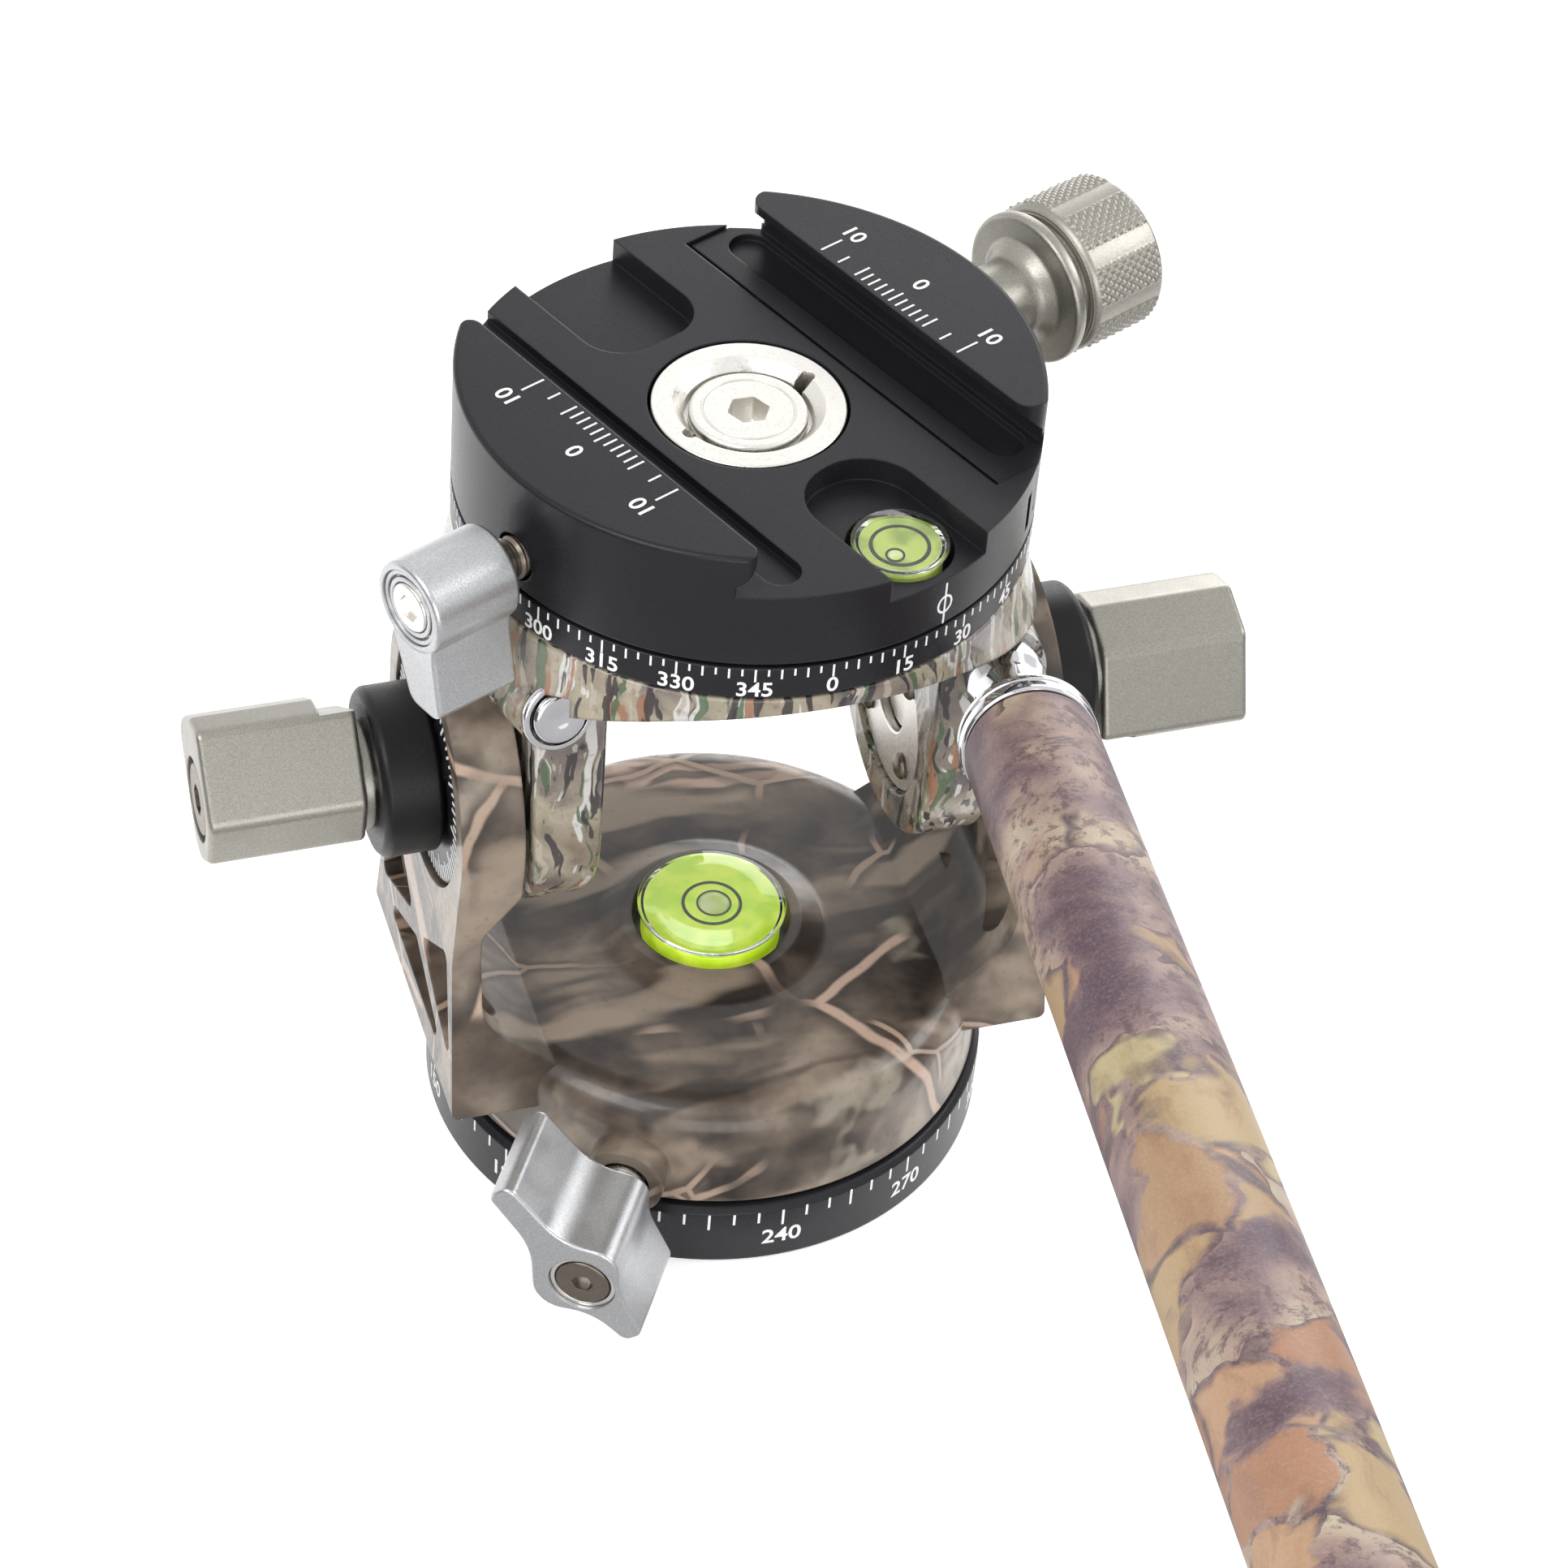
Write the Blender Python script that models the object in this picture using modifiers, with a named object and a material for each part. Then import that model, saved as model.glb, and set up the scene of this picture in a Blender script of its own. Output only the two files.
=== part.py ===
"""Monopod tilt head: panning base, yoke, tilting cradle with its handle, and panning dovetail clamp.

Lengths are in metres and +Z is up. The origin is the centre of the base's underside, X runs along
the tilt axis, and the handle points towards -Y.
"""
import math

import bpy
import bmesh
from mathutils import Matrix, Vector

# Shared sizes
GAP = 0.0003
OVERRUN = 0.003
EDGE = 0.0004
SIDES = 40
MID_SIDES = 24
SMALL_SIDES = 16
TINY_SIDES = 8
ARC_STEPS = 3
HALF_TURN = math.pi
FULL_TURN = 2 * math.pi
REACH_SHARE = 0.49
SOCKET_SHARE = 0.65
WELD = 0.00001

# Panning base
BASE_R = 0.0298
BASE_TAPER = 0.0006
BASE_H = 0.00815
BASE_EDGE = 0.0006
BUSH_R = 0.0080
BUSH_LENGTH = 0.0077
STUD_THREAD_R = 0.00476
AXLE_HEAD_R = 0.0042
AXLE_HEAD_H = 0.0022
AXLE_R = 0.0020
AXLE_WASHER_R = 0.0046
AXLE_WASHER_H = 0.0006
AXLE_TIP_H = 0.0173
SPINDLE_R = 0.0095
SPINDLE_H = 0.0070
THRUST_INNER_R = 0.0125
THRUST_OUTER_R = 0.0245
THRUST_H = 0.0005
THRUST_RECESS = 0.0008

# Yoke
YOKE_R = 0.0290
YOKE_TAPER = 0.0007
YOKE_DISC_H = 0.01275
YOKE_RIM_ROUND = 0.0040
PEDESTAL_H = 0.0012
PEDESTAL_R = 0.0096
PEDESTAL_FOOT_R = 0.0122
LEVEL_R = 0.0081
LEVEL_DEEP = 0.0015
LEVEL_RISE = 0.0029
YOKE_TOP = BASE_H + YOKE_DISC_H
PEDESTAL_TOP = YOKE_TOP + PEDESTAL_H
LEVEL_FLOOR = YOKE_TOP - LEVEL_DEEP
LEVEL_TOP = PEDESTAL_TOP + LEVEL_RISE
LEVEL_DOME = 0.0014
LEVEL_CHAMBER_R = 0.0064

# Yoke arms, measured outwards from the middle plane, and heights of their outline
TILT_H = 0.0503
ARM_INNER = 0.0250
ARM_OUTER_TOP = 0.0314
ARM_OUTER_FOOT = 0.0323
ARM_WEB_INNER = 0.0288
ARM_TOP_R = 0.0152
ARM_WAIST = 0.0136
ARM_WAIST_H = 0.0350
ARM_FOOT = 0.0169
ARM_FOOT_H = 0.0156
ARM_BOSS_H = 0.0440
ARM_WEB_TOP_H = 0.0385
ARM_WEB_FOOT_H = 0.0265
ARM_FILLET_IN = 0.0205
ARM_FILLET_FOOT_H = 0.0200
ARM_EDGE = 0.0008
POCKET_FLOOR = 0.0303
POCKET_RIM = 0.0023
POCKET_LOW_H = 0.0200
POCKET_TOP_H = 0.0365
POCKET_MID_H = 0.0278
RIB = 0.0018
POCKET_ROUND = 0.0010
WINDOW_SHARE = 0.68

# Base pan lock
LOCK_H = 0.0127
LOCK_ANGLE = math.radians(-32)
LOCK_BOSS_R = 0.0042
LOCK_BOSS_OUT = 0.0315
LOCK_BORE_R = 0.0028
LOCK_PAD_R = 0.0024
LOCK_PAD_LENGTH = 0.0040
LOCK_STUD_R = 0.0024
LOCK_KNOB_IN = 0.0345
LOCK_KNOB_OUT = 0.0460
LOCK_KNOB_OUTLINE = (
    (-0.0080, 0.0116, 0.0011),
    (-0.0103, 0.0096, 0.0011),
    (-0.0056, 0.0036, 0.0080),
    (-0.0050, -0.0047, 0.0034),
    (0.0012, -0.0041, 0.0060),
    (0.0048, -0.0070, 0.0011),
    (0.0066, -0.0054, 0.0011),
    (0.0037, 0.0004, 0.0060),
    (0.0037, 0.0052, 0.0026),
    (-0.0022, 0.0052, 0.0070),
)
LOCK_RECESS_R = 0.0035
LOCK_RECESS = 0.0012
LOCK_CAP_R = 0.0031
LOCK_CAP_H = 0.0008
LOCK_SOCKET_R = 0.0014

# Tilt axis
TILT_STUD_R = 0.0040
TILT_STUD_IN = 0.0186
BUSH_WALL = 0.0017
ANGLE_RING_R = 0.0123
ANGLE_RING_H = 0.0011
COLLAR_R = 0.0087
COLLAR_H = 0.0061
COLLAR_ROUND = 0.0016
FRICTION_R = 0.0088
FRICTION_H = 0.0014

# Oblong tilt knobs
TILT_KNOB_HUB_R = 0.0056
TILT_KNOB_IN = 0.0378
TILT_KNOB_SHOULDER = 0.0387
TILT_KNOB_OUT = 0.0547
TILT_KNOB_SECTION = (
    (-0.0070, 0.0060, 0.0012),
    (0.0028, 0.0060, 0.0016),
    (0.0065, 0.0015, 0.0014),
    (0.0065, -0.0050, 0.0030),
    (-0.0083, -0.0050, 0.0030),
    (-0.0083, 0.0024, 0.0014),
)
TILT_KNOB_BEVEL = 0.0006
TILT_KNOB_NOTCH = 0.0036
TILT_KNOB_NOTCH_AT = -0.0068
TILT_RECESS_R = 0.0044
TILT_RECESS = 0.0016
TILT_CAP_R = 0.0037
TILT_CAP_H = 0.0012
TILT_CAP_SHANK_R = 0.0016
TILT_CAP_SHANK = 0.0030
TILT_SOCKET_R = 0.0016
TILT_TURN = {"right": math.radians(70), "left": math.radians(-51)}

# Cradle and clamp share one outside diameter
HEAD_R = 0.0285
CRADLE_R = HEAD_R
CRADLE_RISE = 0.0321
CRADLE_RING_H = 0.0037
CRADLE_RING_WALL = 0.0042
CRADLE_FLARE = 0.0022
SKIRT_H = 0.0042
SHOULDER_H = 0.0095
ARCH_COVER = 0.0020
ARCH_RISE = 0.0087
ARM_CLEARANCE = 0.0007
CHEEK_INNER = 0.0170
CHEEK_OUTER = 0.0242
CHEEK_R = 0.0150
CHEEK_BEVEL = 0.0010
PLATE_R = 0.0105
PLATE_H = 0.0011
PLATE_RECESS = 0.0020
PLATE_SCREWS = 4
PLATE_SCREW_CIRCLE = 0.0078
PLATE_SCREW_R = 0.0015
PLATE_SCREW_HEAD = 0.0007
PLATE_SHANK_R = 0.0009
PLATE_SHANK = 0.0024
CLAMP_SPINDLE_R = 0.0075
CLAMP_SPINDLE_H = 0.0056
CLAMP_THRUST_IN = 0.0110
CLAMP_THRUST_RIM = 0.0023
CLAMP_THRUST_H = 0.0008
CLAMP_THRUST_RECESS = 0.0007
CRADLE_RING_TOP = TILT_H + CRADLE_RISE
CRADLE_RING_LOW = CRADLE_RING_TOP - CRADLE_RING_H
CRADLE_RING_INNER = CRADLE_R - CRADLE_RING_WALL
CRADLE_FLARE_TOP_H = CRADLE_RING_LOW - SKIRT_H
CRADLE_LOW_H = CRADLE_FLARE_TOP_H - SHOULDER_H
ARCH_TOP_H = CRADLE_RING_LOW - ARCH_COVER
CLAMP_SPINDLE_TOP = CRADLE_RING_TOP + CLAMP_SPINDLE_H
CLAMP_THRUST_OUT = CRADLE_RING_INNER - CLAMP_THRUST_RIM

# Handle
HANDLE_X = 0.02535
HANDLE_DROP = 0.01643
HANDLE_AXIS_H = CRADLE_RING_LOW - HANDLE_DROP
HANDLE_YAW = math.radians(-9.34)
HANDLE_PITCH = math.radians(13.7)
SOCKET_R = 0.0046
SOCKET_IN = 0.0118
SOCKET_OUT = 0.0165
SPARE_RISE = 0.0034
SPARE_R = 0.0038
SOCKET_BORE_R = 0.0027
NECK_STUD_R = 0.0024
NECK_R = 0.0039
NECK_WAIST_R = 0.0036
NECK_SHOULDER = 0.0035
NECK_WAIST = 0.0075
NECK_LENGTH = 0.0128
FERRULE_R = 0.0068
FERRULE_H = 0.0030
FERRULE_PLUG = 0.0110
TUBE_R = 0.0066
TUBE_WALL = 0.0012
TUBE_LENGTH = 0.1650
CAP_H = 0.0090
CAP_ROUND = 0.0040
CAP_PLUG = 0.0080
PLUG_HEAD_R = 0.0028
PLUG_HEAD_H = 0.0012

# Clamp
CLAMP_TURN = math.radians(23.6)
CLAMP_R = HEAD_R
CLAMP_CLEARANCE = 0.0004
CLAMP_DECK_H = 0.0083
JAW_RISE = 0.0046
LIP_SHARE = 0.593
LIP_HALF = CLAMP_R * LIP_SHARE
LIP_H = 0.0010
FLANK_RISE = 0.0024
SLOT_SHARE = 0.4035
SLOT_IN = CLAMP_R * SLOT_SHARE
SLOT_WIDE = 0.0040
SLOT_DEEP = 0.0010
SLOT_RIM = 0.0080
TIP_ROUND = 0.0012
TRENCH_SHARE = 0.4316
TRENCH_IN = CLAMP_R * TRENCH_SHARE
TRENCH_WALL = 0.0050
TRENCH_DEEP = 0.0061
TRENCH_ROUND = 0.0015
JAW_FOOT_SHARE = 0.5544
JAW_FOOT_IN = CLAMP_R * JAW_FOOT_SHARE
JAW_END_GAP = 0.0005
TONGUE_GAP = 0.0009
TONGUE_IN = TRENCH_IN + TONGUE_GAP
TONGUE_INSET = 0.0004
TONGUE_DROP = 0.0007
RECESS_DEEP = 0.0026
RECESS_BACK_LEFT = -0.0068
RECESS_BACK_RIGHT = 0.0058
RECESS_BACK_START = 0.0124
RECESS_FRONT_LEFT = -0.0060
RECESS_FRONT_RIGHT = 0.0058
RECESS_FRONT_START = 0.0116
RECESS_BACK_ROUND = 0.0045
RECESS_ROUND = 0.0057
CLAMP_LEVEL_RIM = 0.0062
CLAMP_LEVEL_R = 0.0049
CLAMP_LEVEL_H = 0.0045
CLAMP_LEVEL_RISE = 0.0008
CENTRE_SHARE = 0.3333
CENTRE_RING_R = CLAMP_R * CENTRE_SHARE
CENTRE_CONE_R = 0.0074
CENTRE_SEAT_R = 0.0061
CENTRE_SEAT_DEEP = 0.0019
CENTRE_BORE_R = 0.0028
SPANNER_AT = 0.0071
SPANNER_R = 0.0009
AXLE_SCREW_R = 0.0058
AXLE_CAP_H = 0.0009
AXLE_SHANK_R = 0.0025
AXLE_SHANK = 0.0110
AXLE_SOCKET_R = 0.0022
GUIDE_SHARE = 0.49
GUIDE_R = 0.0010
GUIDE_IN = 0.0078
GUIDE_RIM = 0.0085
GUIDE_PLAY = 0.0035
CLAMP_LOW = CRADLE_RING_TOP + CLAMP_CLEARANCE
CLAMP_FLOOR = CLAMP_LOW + CLAMP_DECK_H
CLAMP_TOP = CLAMP_FLOOR + JAW_RISE
SLOT_END = CLAMP_R - SLOT_RIM
TRENCH_HALF = CLAMP_R - TRENCH_WALL
TRENCH_FLOOR = CLAMP_FLOOR - TRENCH_DEEP
JAW_HALF = TRENCH_HALF - JAW_END_GAP
TONGUE_HALF = JAW_HALF - TONGUE_INSET
TONGUE_TOP = CLAMP_FLOOR - TONGUE_DROP
RECESS_FLOOR = CLAMP_FLOOR - RECESS_DEEP
CLAMP_LEVEL_AT = CLAMP_R - CLAMP_LEVEL_RIM
CLAMP_LEVEL_TOP = RECESS_FLOOR + CLAMP_LEVEL_RISE
CLAMP_LEVEL_LOW = CLAMP_LEVEL_TOP - CLAMP_LEVEL_H
CENTRE_SEAT_H = CLAMP_FLOOR - CENTRE_SEAT_DEEP
AXLE_CAP_LOW = CENTRE_SEAT_H + GAP
CLAMP_AXLE_TIP_H = AXLE_CAP_LOW - AXLE_SHANK
GUIDE_AT = CLAMP_R * GUIDE_SHARE
GUIDE_OUT = CLAMP_R - GUIDE_RIM
GUIDE_BORE_OUT = GUIDE_OUT + GUIDE_PLAY

# Jaw knob, outwards from the pan axis
JAW_AXIS_DROP = 0.0025
JAW_AXIS_H = CLAMP_FLOOR - JAW_AXIS_DROP
JAW_SCREW_R = 0.00125
JAW_SCREW_IN = 0.0104
JAW_THREAD_IN = 0.0082
JAW_WASHER_R = 0.0033
JAW_WASHER_H = 0.0010
JAW_SEAT = CLAMP_R + GAP + JAW_WASHER_H
JAW_NECK = 0.0064
JAW_FLANGE = JAW_SEAT + JAW_NECK
JAW_FLANGE_R = 0.0080
JAW_FLANGE_H = 0.0014
JAW_NECK_R = 0.0040
JAW_GROOVE_R = 0.0066
JAW_GROOVE_H = 0.0012
JAW_KNOB_R = 0.0082
JAW_KNOB_LENGTH = 0.0123
JAW_KNOB_OUT = JAW_FLANGE + JAW_KNOB_LENGTH
JAW_KNOB_ROUND = 0.0010
JAW_CONE_R = 0.0046
JAW_CONE_DEEP = 0.0030

# Clamp pan lock, outwards from the pan axis
PAN_LOCK_RISE = 0.0034
PAN_LOCK_H = CLAMP_LOW + PAN_LOCK_RISE
PAN_PAD_R = 0.0020
PAN_PAD_LENGTH = 0.0032
PAN_STUD_R = 0.0022
PAN_HUB_SPACE = 0.0028
PAN_HUB_LENGTH = 0.0097
PAN_HUB_IN = CLAMP_R + PAN_HUB_SPACE
PAN_HUB_OUT = PAN_HUB_IN + PAN_HUB_LENGTH
PAN_HUB_R = 0.0047
PAN_TAIL_OUTLINE = (
    (-0.0047, 0),
    (-0.0026, -0.0046, 0.0030),
    (0.0002, -0.0114, 0.0018),
    (0.0050, -0.0114, 0.0013),
    (0.0034, -0.0032, 0.0080),
    (0.0047, 0),
)
PAN_CAP_R = 0.0036
PAN_CAP_H = 0.0006
PAN_RECESS = 0.0009

LOOKS = {
    "black_anodised": ((0.022, 0.022, 0.025), 0.45, 0.6),
    "black_collar": ((0.010, 0.010, 0.011), 0.5, 0.3),
    "camo_film": ((0.22, 0.17, 0.13), 0.35, 0.0),
    "handle_film": ((0.45, 0.34, 0.25), 0.5, 0.0),
    "warm_grey": ((0.34, 0.33, 0.29), 0.42, 0.6),
    "silver_grey": ((0.50, 0.50, 0.49), 0.38, 0.8),
    "steel": ((0.62, 0.60, 0.57), 0.22, 1.0),
    "chrome": ((0.80, 0.80, 0.82), 0.08, 1.0),
    "brass": ((0.65, 0.47, 0.20), 0.35, 1.0),
    "polymer": ((0.05, 0.05, 0.05), 0.6, 0.0),
    "level_fluid": ((0.62, 0.85, 0.10), 0.1, 0.0),
}


def clear_scene():
    for thing in list(bpy.data.objects):
        bpy.data.objects.remove(thing, do_unlink=True)


def collection(name):
    group = bpy.data.collections.new(name)
    bpy.context.scene.collection.children.link(group)
    return group


clear_scene()
PARTS = collection("monopod_tilt_head")
TOOLS = collection("cutters_and_axes")


def material(look):
    if look in bpy.data.materials:
        return bpy.data.materials[look]
    colour, roughness, metallic = LOOKS[look]
    made = bpy.data.materials.new(look)
    made.use_nodes = True
    shader = made.node_tree.nodes["Principled BSDF"]
    shader.inputs["Base Color"].default_value = (*colour, 1)
    shader.inputs["Roughness"].default_value = roughness
    shader.inputs["Metallic"].default_value = metallic
    made.diffuse_color = (*colour, 1)
    return made


def axis_frame(name, place, out, right):
    """An empty whose local Z points out along an axis and whose local X points right."""
    out = Vector(out).normalized()
    right = Vector(right)
    right = (right - out * right.dot(out)).normalized()
    up = out.cross(right)
    empty = bpy.data.objects.new(name, None)
    turn = Matrix((right, up, out)).transposed().to_4x4()
    empty.matrix_world = Matrix.Translation(Vector(place)) @ turn
    empty.hide_render = True
    TOOLS.objects.link(empty)
    return empty


def add(name, mesh, frame, look):
    """Link a mesh as a part with a look, or as a cutter when the look is None."""
    made = bpy.data.objects.new(name, mesh)
    made.parent = frame
    if look is None:
        TOOLS.objects.link(made)
        made.hide_render = True
        made.display_type = "WIRE"
    else:
        PARTS.objects.link(made)
        mesh.materials.append(material(look))
    return made


def arc(cx, cy, radius, start, sweep, steps=ARC_STEPS):
    """Points on an arc, both ends included."""
    turns = [start + sweep * step / steps for step in range(steps + 1)]
    return [(cx + radius * math.cos(turn), cy + radius * math.sin(turn)) for turn in turns]


def rounded(corners, closed=True, steps=ARC_STEPS):
    """Turn corners (x, y) or (x, y, radius) into points, with an arc at each corner that has a radius."""
    points = []
    count = len(corners)
    for index, corner in enumerate(corners):
        here = Vector(corner[:2])
        radius = corner[2] if len(corner) > 2 else 0
        at_end = not closed and index in (0, count - 1)
        if radius <= 0 or at_end:
            points.append(tuple(here))
            continue
        back = Vector(corners[index - 1][:2]) - here
        ahead = Vector(corners[(index + 1) % count][:2]) - here
        half = back.angle(ahead) / 2
        reach = min(radius / math.tan(half), back.length * REACH_SHARE, ahead.length * REACH_SHARE)
        radius = reach * math.tan(half)
        pieces = 1 if radius <= EDGE else steps
        middle = (back.normalized() + ahead.normalized()).normalized()
        centre = here + middle * (radius / math.sin(half))
        first = here + back.normalized() * reach - centre
        last = here + ahead.normalized() * reach - centre
        start = math.atan2(first.y, first.x)
        sweep = (math.atan2(last.y, last.x) - start + HALF_TURN) % FULL_TURN - HALF_TURN
        points += arc(centre.x, centre.y, radius, start, sweep, pieces)
    return points


def turned(name, corners, frame, look=None, sides=SIDES, ring=False):
    """A turned piece: corners (radius, height) run down the outer side, from axis to axis or as a ring."""
    points = rounded(corners, closed=ring, steps=ARC_STEPS - 1)
    mesh = bpy.data.meshes.new(name)
    edges = [(index, index + 1) for index in range(len(points) - 1)]
    if ring:
        edges.append((len(points) - 1, 0))
    mesh.from_pydata([(radius, 0, height) for radius, height in points], edges, [])
    made = add(name, mesh, frame, look)
    screw = made.modifiers.new("turn", "SCREW")
    screw.axis = "Z"
    screw.angle = FULL_TURN
    screw.steps = sides
    screw.render_steps = sides
    screw.use_merge_vertices = True
    screw.merge_threshold = WELD
    screw.use_smooth_shade = True
    return made


def rod(name, radius, low, high, frame, look=None, sides=MID_SIDES, place=(0, 0)):
    """A plain cylinder along the frame's Z, from low to high."""
    mesh = bpy.data.meshes.new(name)
    body = bmesh.new()
    shift = Matrix.Translation((place[0], place[1], (low + high) / 2))
    bmesh.ops.create_cone(body, cap_ends=True, segments=sides, radius1=radius, radius2=radius,
                          depth=high - low, matrix=shift)
    body.to_mesh(mesh)
    body.free()
    return add(name, mesh, frame, look)


def slab(name, points, low, high, frame, look=None):
    """A flat outline in the frame's XY plane, as thick as low to high along its Z."""
    curve = bpy.data.curves.new(name, "CURVE")
    curve.dimensions = "2D"
    curve.fill_mode = "BOTH"
    curve.extrude = (high - low) / 2
    spline = curve.splines.new("POLY")
    spline.points.add(len(points) - 1)
    for point, (x, y) in zip(spline.points, points):
        point.co = (x, y, 0, 1)
    spline.use_cyclic_u = True
    flat = bpy.data.objects.new(name + "_outline", curve)
    TOOLS.objects.link(flat)
    bpy.context.view_layer.update()
    seen = flat.evaluated_get(bpy.context.evaluated_depsgraph_get())
    mesh = bpy.data.meshes.new_from_object(seen)
    bpy.data.objects.remove(flat, do_unlink=True)
    body = bmesh.new()
    body.from_mesh(mesh)
    bmesh.ops.remove_doubles(body, verts=body.verts, dist=WELD)
    bmesh.ops.translate(body, verts=body.verts, vec=(0, 0, (low + high) / 2))
    bmesh.ops.recalc_face_normals(body, faces=body.faces)
    body.to_mesh(mesh)
    body.free()
    mesh.materials.clear()
    mesh.name = name
    return add(name, mesh, frame, look)


def combine(target, operation, tools):
    for tool in tools:
        step = target.modifiers.new(tool.name, "BOOLEAN")
        step.operation = operation
        step.solver = "EXACT"
        step.object = tool
    return target


def cut(target, *tools):
    return combine(target, "DIFFERENCE", tools)


def fuse(target, *tools):
    return combine(target, "UNION", tools)


def overlap(target, *tools):
    return combine(target, "INTERSECT", tools)


def bevel(target, width, segments=1):
    step = target.modifiers.new("edges", "BEVEL")
    step.width = width
    step.segments = segments
    step.limit_method = "ANGLE"
    return target


def hexagon(radius):
    """Corners of a hexagon that a circle of this radius passes through."""
    return arc(0, 0, radius, 0, FULL_TURN * 5 / 6, 5)


def socket_screw(name, frame, look, head_r, head_low, head_h, shank_r, shank, socket_r):
    """A cap screw whose head stands on head_low, with its shank going inwards and a hexagon socket."""
    top = head_low + head_h
    made = turned(name, [
        (0, top),
        (head_r, top, EDGE),
        (head_r, head_low),
        (shank_r, head_low),
        (shank_r, head_low - shank),
        (0, head_low - shank),
    ], frame, look, SMALL_SIDES)
    hole = slab(name + "_socket", hexagon(socket_r), top - head_h * SOCKET_SHARE, top + OVERRUN, frame)
    return cut(made, hole)


WORLD = axis_frame("pan_axis", (0, 0, 0), (0, 0, 1), (1, 0, 0))

# Heights in the base, from the underside up
bush_top = GAP + BUSH_LENGTH
head_low = bush_top + 2 * GAP
head_top = head_low + AXLE_HEAD_H
washer_low = head_top + GAP
web_low = washer_low + AXLE_WASHER_H + GAP
spindle_top = BASE_H + SPINDLE_H
yoke_low = BASE_H + GAP
thrust_low = BASE_H - THRUST_RECESS + GAP


def base_parts():
    top_r = BASE_R - BASE_TAPER
    turned("base_plate", [
        (top_r, BASE_H, EDGE),
        (BASE_R, BASE_EDGE),
        (BASE_R - BASE_EDGE, 0),
        (BUSH_R + GAP, 0),
        (BUSH_R + GAP, bush_top + GAP),
        (AXLE_WASHER_R + GAP, bush_top + GAP),
        (AXLE_WASHER_R + GAP, web_low),
        (AXLE_R + GAP, web_low),
        (AXLE_R + GAP, spindle_top),
        (SPINDLE_R, spindle_top),
        (SPINDLE_R, BASE_H),
        (THRUST_INNER_R - GAP, BASE_H),
        (THRUST_INNER_R - GAP, BASE_H - THRUST_RECESS),
        (THRUST_OUTER_R + GAP, BASE_H - THRUST_RECESS),
        (THRUST_OUTER_R + GAP, BASE_H),
    ], WORLD, "black_anodised", ring=True)
    turned("monopod_bush", [
        (BUSH_R, bush_top),
        (BUSH_R, GAP),
        (STUD_THREAD_R + BASE_EDGE, GAP),
        (STUD_THREAD_R, GAP + BASE_EDGE),
        (STUD_THREAD_R, bush_top),
    ], WORLD, "brass", MID_SIDES, ring=True)
    turned("pan_thrust_washer", [
        (THRUST_OUTER_R, thrust_low + THRUST_H),
        (THRUST_OUTER_R, thrust_low),
        (THRUST_INNER_R, thrust_low),
        (THRUST_INNER_R, thrust_low + THRUST_H),
    ], WORLD, "polymer", MID_SIDES, ring=True)


def yoke_arm(side, sign):
    """One arm: a section across the tilt axis, kept only inside the arm's side outline."""
    section = axis_frame("arm_section_" + side, (0, 0, 0), (0, -sign, 0), (sign, 0, 0))
    top = TILT_H + ARM_TOP_R + OVERRUN
    corners = [
        (ARM_INNER, top),
        (ARM_INNER, ARM_BOSS_H, POCKET_RIM),
        (ARM_WEB_INNER, ARM_WEB_TOP_H, POCKET_RIM),
        (ARM_WEB_INNER, ARM_WEB_FOOT_H, COLLAR_H),
        (ARM_FILLET_IN, ARM_FILLET_FOOT_H),
        (ARM_FILLET_IN, ARM_FOOT_H),
        (ARM_OUTER_FOOT, ARM_FOOT_H, ARM_EDGE),
        (ARM_OUTER_TOP, TILT_H),
        (ARM_OUTER_TOP, top),
    ]
    arm = slab("arm_" + side, rounded(corners), -ARM_FOOT - OVERRUN, ARM_FOOT + OVERRUN, section)
    return overlap(arm, slab("arm_outline_" + side, arm_outline(0), 0, ARM_OUTER_FOOT + OVERRUN,
                             TILT_FRAMES[side]))


def arm_outline(inset):
    """The arm seen along the tilt axis, with heights counted from that axis."""
    lean = math.atan2(ARM_TOP_R - ARM_WAIST, TILT_H - ARM_WAIST_H)
    round_top = arc(0, 0, ARM_TOP_R - inset, -lean, HALF_TURN + 2 * lean, 4 * ARC_STEPS)
    low = ARM_FOOT_H - TILT_H
    waist = ARM_WAIST_H - TILT_H
    return round_top + [
        (-ARM_WAIST + inset, waist),
        (-ARM_FOOT + inset, low + inset),
        (ARM_FOOT - inset, low + inset),
        (ARM_WAIST - inset, waist),
    ]


def arm_pockets(side):
    """Three-cornered pockets between the rim and two crossing ribs, with a window through each."""
    frame = TILT_FRAMES[side]
    low = POCKET_LOW_H - TILT_H
    middle = POCKET_MID_H - TILT_H
    high = POCKET_TOP_H - TILT_H
    foot = ARM_FOOT - POCKET_RIM
    waist = ARM_WAIST - POCKET_RIM
    triangles = {
        "low": [(-foot + RIB, low), (foot - RIB, low), (0, middle - RIB)],
        "front": [(foot, low + RIB), (waist, high - RIB), (RIB, middle)],
        "back": [(-waist, high - RIB), (-foot, low + RIB), (-RIB, middle)],
    }
    tools = []
    for place, corners in triangles.items():
        pocket = [(x, y, POCKET_ROUND) for x, y in corners]
        cx = sum(x for x, y in corners) / 3
        cy = sum(y for x, y in corners) / 3
        window = [(cx + (x - cx) * WINDOW_SHARE, cy + (y - cy) * WINDOW_SHARE, POCKET_ROUND)
                  for x, y in corners]
        name = place + "_" + side
        tools.append(slab("pocket_" + name, rounded(pocket, steps=2), POCKET_FLOOR,
                          ARM_OUTER_FOOT + OVERRUN, frame))
        tools.append(slab("window_" + name, rounded(window, steps=2), ARM_WEB_INNER - OVERRUN,
                          POCKET_FLOOR + OVERRUN, frame))
    return tools


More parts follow.
